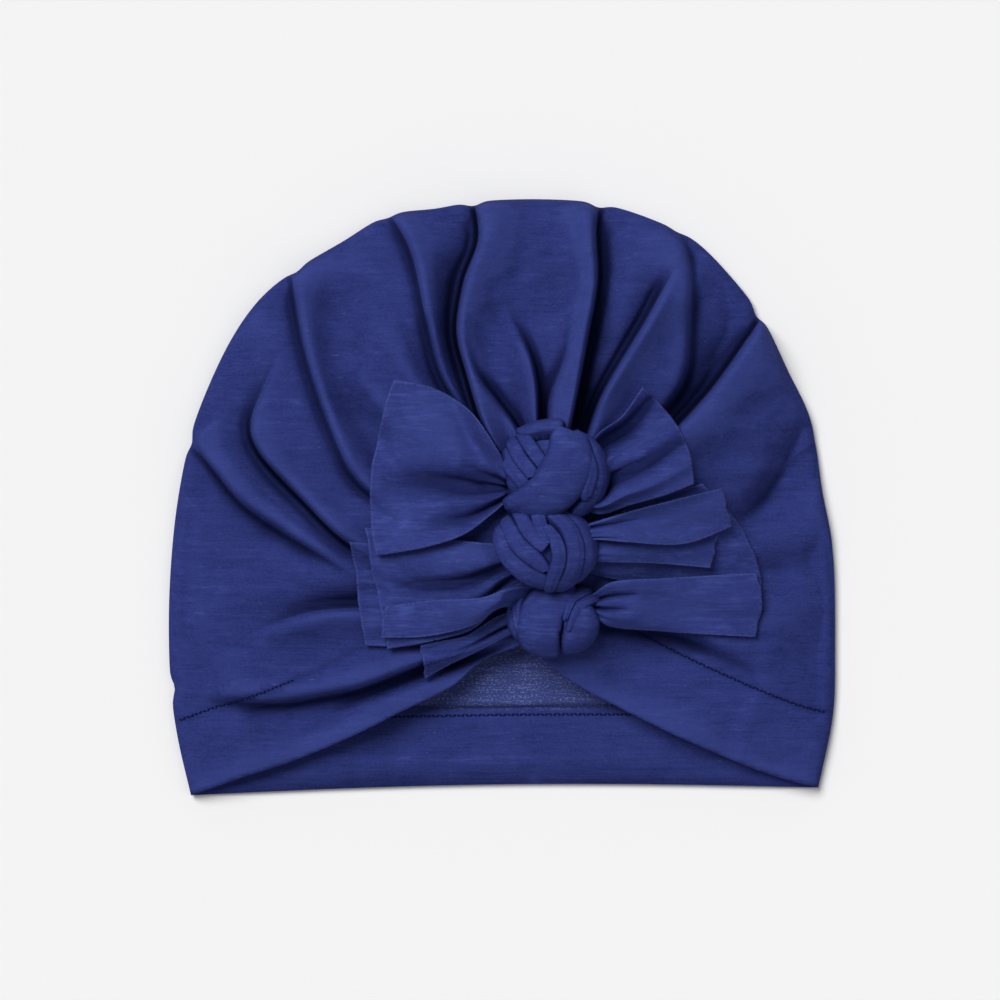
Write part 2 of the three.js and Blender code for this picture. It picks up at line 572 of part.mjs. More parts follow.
function makeKnot(knot, tied) {
  const centre = place(knot.across, knot.up);
  centre.z = heightAt(centre.x, centre.y, 3) + knot.depth * (0.5 - sinkShare);
  const shape = knotShape(knot, centre);
  let solid = shape.subtract(blockUnder(knot, centre));
  tied.forEach((other) => {
    solid = solid.subtract(other);
  });
  tied.push(withGap(shape));
  const chunks = solid.decompose();
  chunks.sort((one, two) => two.volume() - one.volume());
  return toGeometry(chunks[0].simplify(0.02));
}

const group = new THREE.Group();
group.name = 'turban_headwrap';

function addPiece(name, geometry, colour, roughness) {
  geometry.computeVertexNormals();
  const material = new THREE.MeshStandardMaterial({ color: colour, roughness, metalness: 0 });
  const mesh = new THREE.Mesh(geometry, material);
  mesh.name = name;
  group.add(mesh);
}

const jerseyColour = 0x2c3569;
const stripColour = 0x333d74;
addPiece('crown', makeCrown(), jerseyColour, 0.92);
tails.forEach((tail) => {
  addPiece(tail.name, makeTail(tail), stripColour, 0.9);
});
const tied = [];
knots.forEach((knot) => {
  addPiece(knot.name, makeKnot(knot, tied), stripColour, 0.88);
});

export default group;
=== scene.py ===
import math

import bmesh
import bpy
import numpy as np
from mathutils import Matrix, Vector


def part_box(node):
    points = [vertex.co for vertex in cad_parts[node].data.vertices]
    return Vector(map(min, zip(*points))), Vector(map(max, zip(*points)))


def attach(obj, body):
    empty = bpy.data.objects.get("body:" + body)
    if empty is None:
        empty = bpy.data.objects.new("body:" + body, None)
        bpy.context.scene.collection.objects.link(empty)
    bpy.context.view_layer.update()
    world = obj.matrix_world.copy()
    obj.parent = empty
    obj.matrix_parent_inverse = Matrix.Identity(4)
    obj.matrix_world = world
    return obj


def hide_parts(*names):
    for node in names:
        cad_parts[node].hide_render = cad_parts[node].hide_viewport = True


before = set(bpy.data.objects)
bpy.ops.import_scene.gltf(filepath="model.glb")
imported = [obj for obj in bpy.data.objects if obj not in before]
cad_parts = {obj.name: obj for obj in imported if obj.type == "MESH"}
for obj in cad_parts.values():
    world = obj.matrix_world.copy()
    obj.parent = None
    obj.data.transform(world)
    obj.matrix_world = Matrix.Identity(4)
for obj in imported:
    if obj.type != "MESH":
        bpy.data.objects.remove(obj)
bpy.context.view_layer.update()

# Turban cap laid flat on its back, seen from straight above. Metres, the part's own frame.
low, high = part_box("crown")
crown = {
    "width": high[0] - low[0],
    "height": high[1] - low[1],
    "loft": 0.021,           # height of the front over its edge
    "archLoft": 0.009,       # the same where the hem arches
    "edge": 0.004,           # thickness of the rolled edge
    "wall": 0.0012,
    "leastRoom": 0.001,      # between the front and the back, where a fold sinks deep
    "hemDepth": 0.0225,
    "hemTurn": 0.0006,       # what the turned-up hem adds
    "hemStep": 0.0006,       # half the width of the step at its upper end
    "hemBend": 0.2,          # share of the edge where the rays bend with the hem
    "groove": 0.00035,       # the stitches pull the cloth down
    "grooveWidth": 0.0009,
    "notch": 0.0008,         # a fold that crosses the edge draws it in
    "notchSpread": 0.006,    # as a share of the edge
    "notchNear": 0.006,      # how near the edge such a fold starts
    "backBow": 0.012,
    "domePower": 2.4,        # how full the front is
    "archShare": 0.3,        # share of the edge over which the arch's loft grows to the full one
    "foldRise": 0.35,        # folds are full where the dome has risen so far
    "hemRise": 0.2,          # and the hem's step and groove here
    "columns": 400,
    "rows": 100,
}


def place(across, up):
    return np.array([(across - 0.5) * crown["width"], (up - 0.5) * crown["height"]])


def smooth(lowEnd, highEnd, value):
    share = np.clip((value - lowEnd) / (highEnd - lowEnd), 0, 1)
    return share * share * (3 - 2 * share)


def mixed(a, b, share):
    return a + (b - a) * share


# A smooth line through a few points, centripetal so that it makes no loops
def curveThrough(shares, count=900):
    points = np.array([place(*share) for share in shares])
    points = np.vstack([2 * points[0] - points[1], points, 2 * points[-1] - points[-2]])
    dense = []
    for at in range(1, len(points) - 2):
        p0, p1, p2, p3 = points[at - 1:at + 3]
        pairs = ((p0, p1), (p1, p2), (p2, p3))
        d0, d1, d2 = (max(np.linalg.norm(b - a) ** 0.5, 1e-9) for a, b in pairs)
        t1 = ((p1 - p0) / d0 - (p2 - p0) / (d0 + d1) + (p2 - p1) / d1) * d1
        t2 = ((p2 - p1) / d1 - (p3 - p1) / (d1 + d2) + (p3 - p2) / d2) * d1
        t = np.linspace(0, 1, 60, endpoint=at == len(points) - 3)[:, None]
        dense.append(p1 + t1 * t + (-3 * p1 + 3 * p2 - 2 * t1 - t2) * t ** 2
                     + (2 * p1 - 2 * p2 + t1 + t2) * t ** 3)
    dense = np.vstack(dense)
    run = np.concatenate([[0], np.cumsum(np.linalg.norm(np.diff(dense, axis=0), axis=1))])
    even = np.linspace(0, run[-1], count)
    return np.stack([np.interp(even, run, dense[:, axis]) for axis in (0, 1)], axis=1)


def along(curve, share):
    steps = np.linspace(0, 1, len(curve))
    return np.stack([np.interp(share, steps, curve[:, axis]) for axis in (0, 1)], axis=-1)


# A smooth line through points that stand at known shares of it
def smoothLine(points, at, share):
    tangents = np.gradient(points, at, axis=0)
    index = np.clip(np.searchsorted(at, share, side="right") - 1, 0, len(at) - 2)
    span = (at[index + 1] - at[index])[:, None]
    t = (share[:, None] - at[index][:, None]) / span
    fromHere = (2 * t ** 3 - 3 * t ** 2 + 1) * points[index]
    leaving = (t ** 3 - 2 * t ** 2 + t) * span * tangents[index]
    fromNext = (3 * t ** 2 - 2 * t ** 3) * points[index + 1]
    arriving = (t ** 3 - t ** 2) * span * tangents[index + 1]
    return fromHere + leaving + fromNext + arriving


outline = curveThrough([
    (0.033, 0.0), (0.013, 0.097), (0.003, 0.178), (0.0, 0.317), (0.009, 0.461), (0.025, 0.567),
    (0.04, 0.631), (0.091, 0.76), (0.136, 0.832), (0.186, 0.879), (0.259, 0.928), (0.329, 0.973),
    (0.403, 0.985), (0.46, 0.996), (0.567, 1.0), (0.65, 0.992), (0.726, 0.966), (0.786, 0.933),
    (0.846, 0.867), (0.891, 0.8), (0.93, 0.711), (0.963, 0.631), (0.981, 0.51), (0.996, 0.419),
    (1.0, 0.245), (0.997, 0.136), (0.975, 0.013)], 2400)
hemLeft = curveThrough([
    (0.533, 0.256), (0.467, 0.225), (0.427, 0.186), (0.347, 0.141), (0.268, 0.097), (0.187, 0.059),
    (0.108, 0.03), (0.033, 0.0)])
hemRight = curveThrough([
    (0.533, 0.256), (0.599, 0.196), (0.666, 0.154), (0.778, 0.093), (0.904, 0.035), (0.975, 0.013)])
gatherLow = place(0.533, 0.256)
gatherHigh = place(0.569, 0.529)

# Folds: rise on the clockwise and the other side, their spreads, crease, grow, fade, how dark a painted shade
# line the crease gets, and route
foldLook = {
    "depth": 0.0085,
    "spread": 0.0088,
    "crease": 0.001,
    "trench": 0.003,               # how far a crease sinks below both its sides
    "trenchWidth": 0.0012,
    "gatherShrink": 0.55,          # how much narrower a fold gets at the knots
    "leastFade": 0.22,
    "lineFade": (0.0068, 0.0042),  # a painted shade line is gone beyond the first distance
    "steps": 51,
}
folds = [
    (0.6, -0.55, 1.5, 1.2, 1.0, 0.02, 0.35, 0.5,  # cheek, left
     [(0.028, 0.594), (0.064, 0.549), (0.112, 0.487), (0.201, 0.421), (0.3, 0.36)]),
    (0.5, -0.8, 0.9, 1.1, 1.1, 0.45, 0.2, 0.9,  # temple
     [(0.18, 0.767), (0.147, 0.696), (0.123, 0.621), (0.133, 0.58), (0.208, 0.487), (0.268, 0.424),
      (0.36, 0.37)]),
    (0.6, -0.35, 0.9, 1.0, 1.2, 0.0, 0.3, 0.4,  # ridge left of the middle
     [(0.18, 0.9), (0.187, 0.846), (0.204, 0.747), (0.241, 0.621), (0.29, 0.518), (0.4, 0.45)]),
    (-0.5, -0.5, 1.1, 0.9, 1.0, 0.2, 0.3, 0,  # hollow beside it
     [(0.25, 0.9), (0.253, 0.836), (0.244, 0.765), (0.268, 0.658), (0.33, 0.56), (0.42, 0.5)]),
    (0.35, 0.35, 0.6, 0.6, 1.0, 0.4, 0.3, 0,  # small pleat
     [(0.255, 0.77), (0.268, 0.73), (0.326, 0.649), (0.4, 0.58)]),
    (0.25, 0.25, 0.5, 0.5, 1.0, 0.4, 0.3, 0,  # smaller pleat
     [(0.33, 0.78), (0.341, 0.747), (0.365, 0.703), (0.43, 0.61)]),
    (0.6, -0.3, 0.9, 1.2, 1.2, 0.0, 0.2, 0.5,  # crown, left
     [(0.322, 0.99), (0.361, 0.913), (0.385, 0.8), (0.412, 0.693), (0.475, 0.596), (0.53, 0.53)]),
    (0.85, -0.95, 1.3, 0.9, 0.7, 0.0, 0.1, 1,  # middle panel, left edge
     [(0.455, 1.01), (0.463, 0.93), (0.442, 0.862), (0.431, 0.775), (0.445, 0.708), (0.484, 0.586),
      (0.54, 0.52)]),
    (-0.4, 0.45, 0.8, 0.7, 1.0, 0.5, 0.1, 0.5,  # pleat in the panel
     [(0.44, 0.78), (0.467, 0.698), (0.496, 0.658), (0.527, 0.609), (0.56, 0.53)]),
    (-0.4, 0.45, 0.6, 0.6, 0.9, 0.4, 0.1, 0.4,  # second pleat
     [(0.5, 0.83), (0.542, 0.738), (0.553, 0.69), (0.557, 0.616), (0.57, 0.53)]),
    (0.3, -0.2, 0.6, 0.6, 1.0, 0.5, 0.1, 0.3,  # third pleat
     [(0.61, 0.82), (0.591, 0.728), (0.567, 0.658), (0.568, 0.6), (0.575, 0.53)]),
    (-0.95, 0.75, 1.0, 1.1, 0.8, 0.0, 0.1, 0.8,  # middle panel, right edge
     [(0.648, 1.0), (0.642, 0.945), (0.644, 0.862), (0.629, 0.763), (0.606, 0.631), (0.59, 0.54)]),
    (0.7, -0.6, 0.8, 1.0, 0.9, 0.2, 0.1, 0.6,  # roll right of it
     [(0.762, 0.89), (0.738, 0.846), (0.711, 0.792), (0.644, 0.663), (0.61, 0.55)]),
    (-0.4, 0.25, 1.5, 0.9, 2.0, 0.0, 0.35, 0.2,  # hollow beside the roll
     [(0.765, 0.95), (0.78, 0.9), (0.783, 0.792), (0.77, 0.685), (0.68, 0.58)]),
    (0.9, -0.95, 1.8, 1.2, 0.5, 0.0, 0.2, 0.9,  # right shoulder
     [(0.9, 0.82), (0.865, 0.765), (0.799, 0.666), (0.72, 0.58), (0.62, 0.52)]),
    (-0.75, -0.6, 1.2, 0.7, 0.8, 0.05, 0.5, 0.2,  # by the right ear
     [(0.98, 0.6), (0.939, 0.567), (0.879, 0.487), (0.8, 0.43)]),
    (-0.5, -0.4, 1.2, 0.8, 1.0, 0.1, 0.6, 0.1,  # cheek, right
     [(1.0, 0.41), (0.889, 0.383), (0.78, 0.37)]),
    (-0.6, 0.3, 1.0, 1.1, 1.2, 0.5, 0.1, 0.2,  # over the right hem
     [(0.93, 0.2), (0.864, 0.218), (0.786, 0.26), (0.7, 0.285), (0.58, 0.3)]),
    (-0.75, 0.45, 1.0, 1.1, 1.0, 0.5, 0.2, 0.5,  # low on the left
     [(0.09, 0.235), (0.124, 0.272), (0.208, 0.309), (0.3, 0.318), (0.45, 0.31)]),
    (0.75, -0.8, 1.1, 0.85, 0.8, 0.35, 0.1, 0.45,  # over the left hem
     [(0.0, 0.178), (0.06, 0.164), (0.168, 0.154), (0.268, 0.173), (0.392, 0.223), (0.53, 0.265)]),
    (-0.2, -0.2, 0.8, 0.8, 1.0, 0.2, 0.3, 0,  # small one under it
     [(0.11, 0.1), (0.168, 0.114), (0.23, 0.15), (0.3, 0.17)]),
    (-0.25, -0.25, 1.2, 1.2, 1.0, 0.1, 0.3, 0,  # small one on the right hem
     [(0.88, 0.15), (0.8, 0.18), (0.7, 0.24), (0.6, 0.27)]),
]


def nearRoute(route, x, y):
    best = np.full(x.shape, np.inf)
    share = np.zeros(x.shape)
    side = np.ones(x.shape)
    for step in range(len(route) - 1):
        ax, ay = route[step + 1] - route[step]
        bx, by = x - route[step][0], y - route[step][1]
        held = np.clip((bx * ax + by * ay) / (ax * ax + ay * ay), 0, 1)
        distance = np.hypot(bx - held * ax, by - held * ay)
        nearer = distance < best
        best = np.where(nearer, distance, best)
        share = np.where(nearer, (step + held) / (len(route) - 1), share)
        side = np.where(nearer, np.where(ax * by - ay * bx < 0, -1.0, 1.0), side)
    return best, share, side


# The folds' height. Neighbouring folds take turns in two layers, and each layer holds the distance to the
# nearest crease in millimetres, above zero on its higher side, and how dark its painted shade line is.
def foldHeight(x, y):
    height = np.zeros(x.shape)
    lines = np.full((2, *x.shape), 9.0)
    marks = np.zeros((2, *x.shape))
    trenchWidth = foldLook["trenchWidth"]
    for count, fold in enumerate(folds):
        clock, counter, clockSpread, counterSpread, crease, grow, fade, line, route = fold
        route = along(curveThrough(route), np.linspace(0, 1, foldLook["steps"]))
        distance, share, side = nearRoute(route, x, y)
        shrink = 1 - foldLook["gatherShrink"] * share
        reach = foldLook["spread"] * shrink
        onClock = clock * np.exp(-(distance / (clockSpread * reach)) ** 2)
        onCounter = counter * np.exp(-(distance / (counterSpread * reach)) ** 2)
        width = crease * foldLook["crease"] * (0.5 + shrink)
        turn = smooth(-width, width, side * distance)
        grown = smooth(0, grow, share) if grow > 0 else 1.0
        faded = 1 - smooth(1 - max(fade, foldLook["leastFade"]), 1, share)
        height += foldLook["depth"] * mixed(onCounter, onClock, turn) * grown * faded
        step = clock - counter
        above = np.sign(step) * side * distance
        sunk = 0.35 + 0.65 * min(1, abs(step))
        lower = -above - 0.6 * trenchWidth
        height -= foldLook["trench"] * sunk * np.exp(-(lower / trenchWidth) ** 2) * grown * faded ** 2
        layer = count % 2
        nearer = (distance * 1000 < np.abs(lines[layer])) & (line > 0)
        mark = line * grown * faded * smooth(*foldLook["lineFade"], distance)
        lines[layer] = np.where(nearer, above * 1000, lines[layer])
        marks[layer] = np.where(nearer, mark, marks[layer])
    return height, lines, marks


# What the front has besides its folds: fine gathers that run in to the knots, short soft dents
# along their pull, and the slow unevenness of cloth that was laid down by hand
unevenness = {
    "seed": 7,
    "middle": (gatherLow + gatherHigh) / 2 + np.array([0, 0.012]),
    "gathers": ((17, 0.0006, 0.1), (29, 0.00045, 0.07), (47, 0.0003, 0.055)),  # count, height, reach
    "gathersFrom": 0.02,
    "dents": 34,
    "dentAway": (0.05, 0.092),
    "dentLength": (0.008, 0.02),
    "dentWidth": (0.002, 0.0042),
    "dentDepth": 0.0011,
    "swells": 26,
    "swellPitch": (0.014, 0.05),
    "swellHeight": 0.006,      # as a share of the pitch
}


def addGathers(height, x, y, random):
    middle = unevenness["middle"]
    angle = np.arctan2(y - middle[1], x - middle[0])
    away = np.hypot(x - middle[0], y - middle[1])
    upper = smooth(-0.5, 0.2, np.sin(angle))
    for count, size, reach in unevenness["gathers"]:
        bend = 0.5 * np.sin(3 * angle + random.uniform(0, 6))
        bend = bend + 9 * away * np.sin(2 * angle + random.uniform(0, 6))
        wave = np.sin(count * angle + bend + random.uniform(0, 6.28))
        height += size * wave * smooth(reach, unevenness["gathersFrom"], away) * upper


def addDents(height, x, y, random):
    middle = unevenness["middle"]
    for _ in range(unevenness["dents"]):
        turn = random.uniform(-0.35, math.pi + 0.35)
        far = random.uniform(*unevenness["dentAway"])
        dentX = x - middle[0] - far * math.cos(turn)
        dentY = y - middle[1] - far * math.sin(turn)
        lean = turn + random.uniform(-0.35, 0.35)
        down = dentX * math.cos(lean) + dentY * math.sin(lean)
        aside = -dentX * math.sin(lean) + dentY * math.cos(lean)
        length = random.uniform(*unevenness["dentLength"])
        width = random.uniform(*unevenness["dentWidth"])
        deep = random.uniform(-unevenness["dentDepth"], unevenness["dentDepth"])
        height += deep * np.exp(-(down / length) ** 2 - (aside / width) ** 2)


def addSwells(height, x, y, random):
    for _ in range(unevenness["swells"]):
        turn = random.uniform(0, math.pi)
        pitch = random.uniform(*unevenness["swellPitch"])
        phase = random.uniform(0, 6.28)
        run = x * math.cos(turn) + y * math.sin(turn)
        height += unevenness["swellHeight"] * pitch * np.sin(2 * math.pi * run / pitch + phase)


def makeMesh(name, points, faces, attributes=None):
    mesh = bpy.data.meshes.new(name)
    mesh.vertices.add(len(points))
    mesh.vertices.foreach_set("co", np.asarray(points, np.float32).ravel())
    faces = np.asarray(faces, np.int32)
    mesh.loops.add(faces.size)
    mesh.loops.foreach_set("vertex_index", faces.ravel())
    mesh.polygons.add(len(faces))
    mesh.polygons.foreach_set("loop_start", np.arange(0, faces.size, faces.shape[1], dtype=np.int32))
    mesh.update(calc_edges=True)
    mesh.polygons.foreach_set("use_smooth", np.ones(len(faces), bool))
    for label, values in (attributes or {}).items():
        layer = mesh.attributes.new(label, "FLOAT", "POINT")
        layer.data.foreach_set("value", np.asarray(values, np.float32).ravel())
    piece = bpy.data.objects.new(name, mesh)
    bpy.context.collection.objects.link(piece)
    return piece


# What a grid's points can carry for the cloth's shader
# hollow is painted shade above zero and a painted highlight below zero
markings = ("wrong", "raw", "hollow", "lineOne", "markOne", "lineTwo", "markTwo")


# Grids of points gathered into one closed body. Corners that meet are welded at the end.
class Body:
    def __init__(self):
        self.points = []
        self.faces = []
        self.values = {label: [] for label in markings}
        self.count = 0

    def addGrid(self, grid, flip=False, **values):
        rows, columns = grid.shape[:2]
        index = np.arange(rows * columns).reshape(rows, columns) + self.count
        corners = [index[:-1, :-1], index[:-1, 1:], index[1:, 1:], index[1:, :-1]]
        quads = np.stack(corners, axis=-1).reshape(-1, 4)
        self.faces.append(quads[:, ::-1] if flip else quads)
        self.points.append(grid.reshape(-1, 3))
        self.count += rows * columns
        for label in markings:
            self.values[label].append(np.broadcast_to(values.get(label, 0.0), (rows, columns)).ravel())

    def finish(self, name, material):
        piece = makeMesh(name, np.vstack(self.points), np.vstack(self.faces),
                         {label: np.concatenate(parts) for label, parts in self.values.items()})
        shell = bmesh.new()
        shell.from_mesh(piece.data)
        bmesh.ops.remove_doubles(shell, verts=shell.verts, dist=1e-6)
        bmesh.ops.dissolve_degenerate(shell, edges=shell.edges, dist=1e-7)
        for face in shell.faces:
            face.smooth = True
        shell.to_mesh(piece.data)
        shell.free()
        piece.data.materials.append(material)
        return piece


# How high everything laid so far reaches, in square cells
ground = {"cell": 0.0005, "margin": 0.012}
ground["columns"] = int((crown["width"] + 2 * ground["margin"]) / ground["cell"])
ground["rows"] = int((crown["height"] + 2 * ground["margin"]) / ground["cell"])
heights = np.zeros((ground["rows"], ground["columns"]))


def toCells(x, y):
    column = (x + crown["width"] / 2 + ground["margin"]) / ground["cell"]
    row = (y + crown["height"] / 2 + ground["margin"]) / ground["cell"]
    return np.clip(column, 0, ground["columns"] - 2), np.clip(row, 0, ground["rows"] - 2)


def addToGround(grid, finer=4):
    rows, columns = grid.shape[:2]
    fineRows = np.linspace(0, rows - 1, (rows - 1) * finer + 1)
    fineColumns = np.linspace(0, columns - 1, (columns - 1) * finer + 1)
    r0 = np.minimum(fineRows.astype(int), rows - 2)
    c0 = np.minimum(fineColumns.astype(int), columns - 2)
    fr = (fineRows - r0)[:, None, None]
    fc = (fineColumns - c0)[None, :, None]
    lower = grid[r0][:, c0] * (1 - fc) + grid[r0][:, c0 + 1] * fc
    upper = grid[r0 + 1][:, c0] * (1 - fc) + grid[r0 + 1][:, c0 + 1] * fc
    fine = lower * (1 - fr) + upper * fr
    column, row = toCells(fine[..., 0], fine[..., 1])
    np.maximum.at(heights, (np.rint(row).astype(int), np.rint(column).astype(int)), fine[..., 2])


def spreadMax(reach):
    wide = heights.copy()
    for _ in range(max(1, round(reach / ground["cell"]))):
        padded = np.pad(wide, 1, mode="edge")
        wide = np.max([padded[1:-1, 1:-1], padded[2:, 1:-1], padded[:-2, 1:-1], padded[1:-1, 2:],
                       padded[1:-1, :-2]], axis=0)
    return wide


def blurred(field, reach):
    half = max(1, round(reach / ground["cell"]))
    wide = 2 * half + 1
    for axis in (0, 1, 0, 1):
        margins = [(half + 1, half) if at == axis else (0, 0) for at in (0, 1)]
        run = np.cumsum(np.pad(field, margins, mode="edge"), axis=axis)
        count = run.shape[axis]
        field = (np.take(run, range(wide, count), axis) - np.take(run, range(count - wide), axis)) / wide
    return field


def readMap(field, x, y):
    column, row = toCells(x, y)
    c0, r0 = column.astype(int), row.astype(int)
    fc, fr = column - c0, row - r0
    return ((field[r0, c0] * (1 - fc) + field[r0, c0 + 1] * fc) * (1 - fr)
            + (field[r0 + 1, c0] * (1 - fc) + field[r0 + 1, c0 + 1] * fc) * fr)


# Shader maths: a socket that adds nodes when it is used in an expression
class Wire:
    def __init__(self, tree, socket):
        self.tree = tree
        self.socket = socket

    def add(self, kind, settings=None, values=None, out=0):
        node = self.tree.nodes.new(kind)
        for label, value in (settings or {}).items():
            setattr(node, label, value)
        for key, value in (values or {}).items():
            if isinstance(value, Wire):
                self.tree.links.new(value.socket, node.inputs[key])
            else:
                node.inputs[key].default_value = value
        return Wire(self.tree, node.outputs[out])

    def maths(self, operation, a, b):
        return self.add("ShaderNodeMath", {"operation": operation}, {0: a, 1: b})

    def __add__(self, other):
        return self.maths("ADD", self, other)

    def __radd__(self, other):
        return self.maths("ADD", other, self)

    def __sub__(self, other):
        return self.maths("SUBTRACT", self, other)

    def __rsub__(self, other):
        return self.maths("SUBTRACT", other, self)

    def __mul__(self, other):
        return self.maths("MULTIPLY", self, other)

    def __rmul__(self, other):
        return self.maths("MULTIPLY", other, self)

    def atLeast(self, other):
        return self.maths("MAXIMUM", self, other)

    def between(self, lowEnd, highEnd):
        return self.add("ShaderNodeMapRange", {"interpolation_type": "SMOOTHSTEP"},
                        {0: self, 1: lowEnd, 2: highEnd})

    def blend(self, first, second):
        return self.add("ShaderNodeMix", {"data_type": "RGBA"}, {0: self, 6: first, 7: second}, 2)


jersey = {
    "base": (0.0225, 0.0318, 0.149, 1),
    "dark": (0.0156, 0.0228, 0.114, 1),
    "light": (0.046, 0.066, 0.262, 1),
    "deep": (0.004, 0.006, 0.035, 1),          # painted shade in the hollows
    "deepest": (0.0014, 0.0022, 0.011, 1),     # painted shade along the creases
    "fleck": (0.15, 0.18, 0.42, 1),
    "wrong": (0.036, 0.049, 0.18, 1),          # the wrong side
    "wrongLight": (0.13, 0.16, 0.36, 1),
    "rawEdge": (0.06, 0.08, 0.28, 1),
    "streakLength": 0.011,
    "streakHeight": 0.0007,
    "longStreaks": 0.45,                       # how fine the long ones are beside the others
    "loopPitch": 0.00055,
    "backLoopPitch": 0.0004,
    "patches": 45,                             # patches, clouds and flecks in a metre
    "clouds": 260,
    "flecks": 1500,
    "toneShift": -0.035,
    "lightShare": 0.9,
    "fleckShare": 0.22,
    "grainShare": 0.22,
    "rawShare": 0.7,
    # shares of the painted highlight on crests, the painted shade in hollows and the painted crease line
    "paintedHighlightShare": 0.3,
    "hollowShare": 0.75,
    "lineShare": 0.95,
    # millimetres from a crease: where its painted black line and its two painted shades grow, and where they
    # end
    "lineFrom": (-2.1, -0.5),
    "lineTo": (0.05, 0.45),
    "wideShade": (-6, -1.2),
    "nearShade": (-2.4, -0.9),
    "shadeTo": (-0.2, 0.3),
    "roughness": 0.86,
    "gloss": 0.03,
    "bump": 0.35,
    "bumpDepth": 0.0004,
}


def clothMaterial(name, look, paintedLightShift=0.0):
    material = bpy.data.materials.new(name)
    material.use_nodes = True
    tree = material.node_tree
    tree.nodes.clear()
    start = Wire(tree, None)
    shader = tree.nodes.new("ShaderNodeBsdfPrincipled")
    shader.inputs["Roughness"].default_value = look["roughness"]
    shader.inputs["Specular IOR Level"].default_value = look["gloss"]
    output = tree.nodes.new("ShaderNodeOutputMaterial")
    tree.links.new(shader.outputs[0], output.inputs[0])
    spot = start.add("ShaderNodeTexCoord", out="Object")

    def noise(scale, detail=2.0, rough=0.5, stretch=(1, 1, 1)):
        scaled = start.add("ShaderNodeMapping", None, {"Vector": spot, "Scale": stretch})
        return start.add("ShaderNodeTexNoise", None,
                         {"Vector": scaled, "Scale": scale, "Detail": detail, "Roughness": rough})

    def marking(label):
        return start.add("ShaderNodeAttribute", {"attribute_name": label}, out="Fac")

    across = look["streakHeight"] / look["streakLength"]
    streaks = noise(1 / look["streakHeight"], 3.0, 0.6, (across, 1, 0.6))
    longStreaks = noise(look["longStreaks"] / look["streakHeight"], 2.0, 0.5, (across * 0.5, 1, 0.6))
    patches = noise(look["patches"], 3.0, 0.55)
    clouds = noise(look["clouds"], 2.0, 0.55, (0.7, 1, 1))
    flecks = noise(look["flecks"], 0.0, 0.5, (0.28, 1, 1))
    grain = noise(1 / look["loopPitch"], 1.0, 0.5, (0.8, 1.2, 1))
    loops = noise(1 / look["backLoopPitch"], 1.0, 0.5, (0.6, 1, 1))

    # the right side of the cloth
    tone = streaks * 0.42 + longStreaks * 0.25 + patches * 0.25 + clouds * 0.3 + (look["toneShift"] + paintedLightShift)
    colour = tone.between(0.42, 0.62).blend(look["dark"], look["base"])
    colour = (tone.between(0.6, 0.86) * look["lightShare"]).blend(colour, look["light"])
    colour = (flecks.between(0.8, 0.9) * look["fleckShare"]).blend(colour, look["fleck"])
    colour = (grain.between(0.3, 0.7) * look["grainShare"]).blend(colour, look["light"])

    # the wrong side and cut edges
    mottled = (streaks * 0.4 + loops * 0.6).between(0.48, 0.68).blend(look["wrong"], look["wrongLight"])
    colour = marking("wrong").blend(colour, mottled)
    colour = (marking("raw") * grain.between(0.25, 0.65) * look["rawShare"]).blend(colour, look["rawEdge"])

    # painted light and shade: crests get a painted highlight and hollows painted shade, and a crease has soft
    # painted shades on its lower side and a thin painted black line in them
    hollow = marking("hollow")
    colour = ((0 - hollow).between(0, 1) * look["paintedHighlightShare"]).blend(colour, look["light"])
    dark = hollow.atLeast(0) * look["hollowShare"]
    black = []
    for layer in ("One", "Two"):
        away = marking("line" + layer)
        mark = marking("mark" + layer)
        soft = away.between(*look["wideShade"]) * 0.38 + away.between(*look["nearShade"]) * 0.4
        dark = dark.atLeast(mark * soft * (1 - away.between(*look["shadeTo"])))
        sharp = away.between(*look["lineFrom"]) * (1 - away.between(*look["lineTo"]))
        black.append(mark * sharp)
    colour = dark.blend(colour, look["deep"])
    colour = (black[0].atLeast(black[1]) * look["lineShare"]).blend(colour, look["deepest"])
    tree.links.new(colour.socket, shader.inputs["Base Color"])

    height = streaks * 0.5 + grain * 0.35 + patches * 0.6
    bump = start.add("ShaderNodeBump", None,
                     {"Strength": look["bump"], "Distance": look["bumpDepth"], "Height": height})
    tree.links.new(bump.socket, shader.inputs["Normal"])
    return material


def plainMaterial(name, colour, roughness, gloss):
    material = bpy.data.materials.new(name)
    material.use_nodes = True
    shader = material.node_tree.nodes["Principled BSDF"]
    shader.inputs["Base Color"].default_value = colour
    shader.inputs["Roughness"].default_value = roughness
    shader.inputs["Specular IOR Level"].default_value = gloss
    return material


# the strips' copy of the jersey is painted lighter than the crown's, for the light they catch lying raised
crownCloth = clothMaterial("jersey", jersey, -0.01)
stripCloth = clothMaterial("jersey_strips", jersey, 0.075)
hemThread = plainMaterial("hem_thread", (0.005, 0.008, 0.055, 1), 0.8, 0.05)
print("materials done")


# Upright thickness that keeps a sheet's wall on a slope, up to a limit
def uprightWall(grid, wall, steepest=2.0, leastStep=3e-4):
    down, side = np.gradient(grid[..., 2])
    stepDown = np.linalg.norm(np.gradient(grid[..., :2], axis=0), axis=-1)
    stepSide = np.linalg.norm(np.gradient(grid[..., :2], axis=1), axis=-1)
    slope = np.hypot(down / np.maximum(stepDown, leastStep), side / np.maximum(stepSide, leastStep))
    return wall * np.minimum(steepest, np.sqrt(1 + slope ** 2))


# Where the front's columns meet the edge, closer where the folds are. The two sides share the
# points of the gathering line, so their columns pair up.
def columnShares():
    even = np.linspace(0, 1, 4001)
    middle = smooth(0.16, 0.24, even) * smooth(0.88, 0.8, even)
    weight = 0.7 + middle + 0.7 * smooth(0.12, 0.06, even)
    run = np.concatenate([[0], np.cumsum((weight[1:] + weight[:-1]) / 2)])
    half = np.interp(np.linspace(0, run[-1], crown["columns"] + 1), run, even)
    return (half + (1 - half[::-1])) / 2


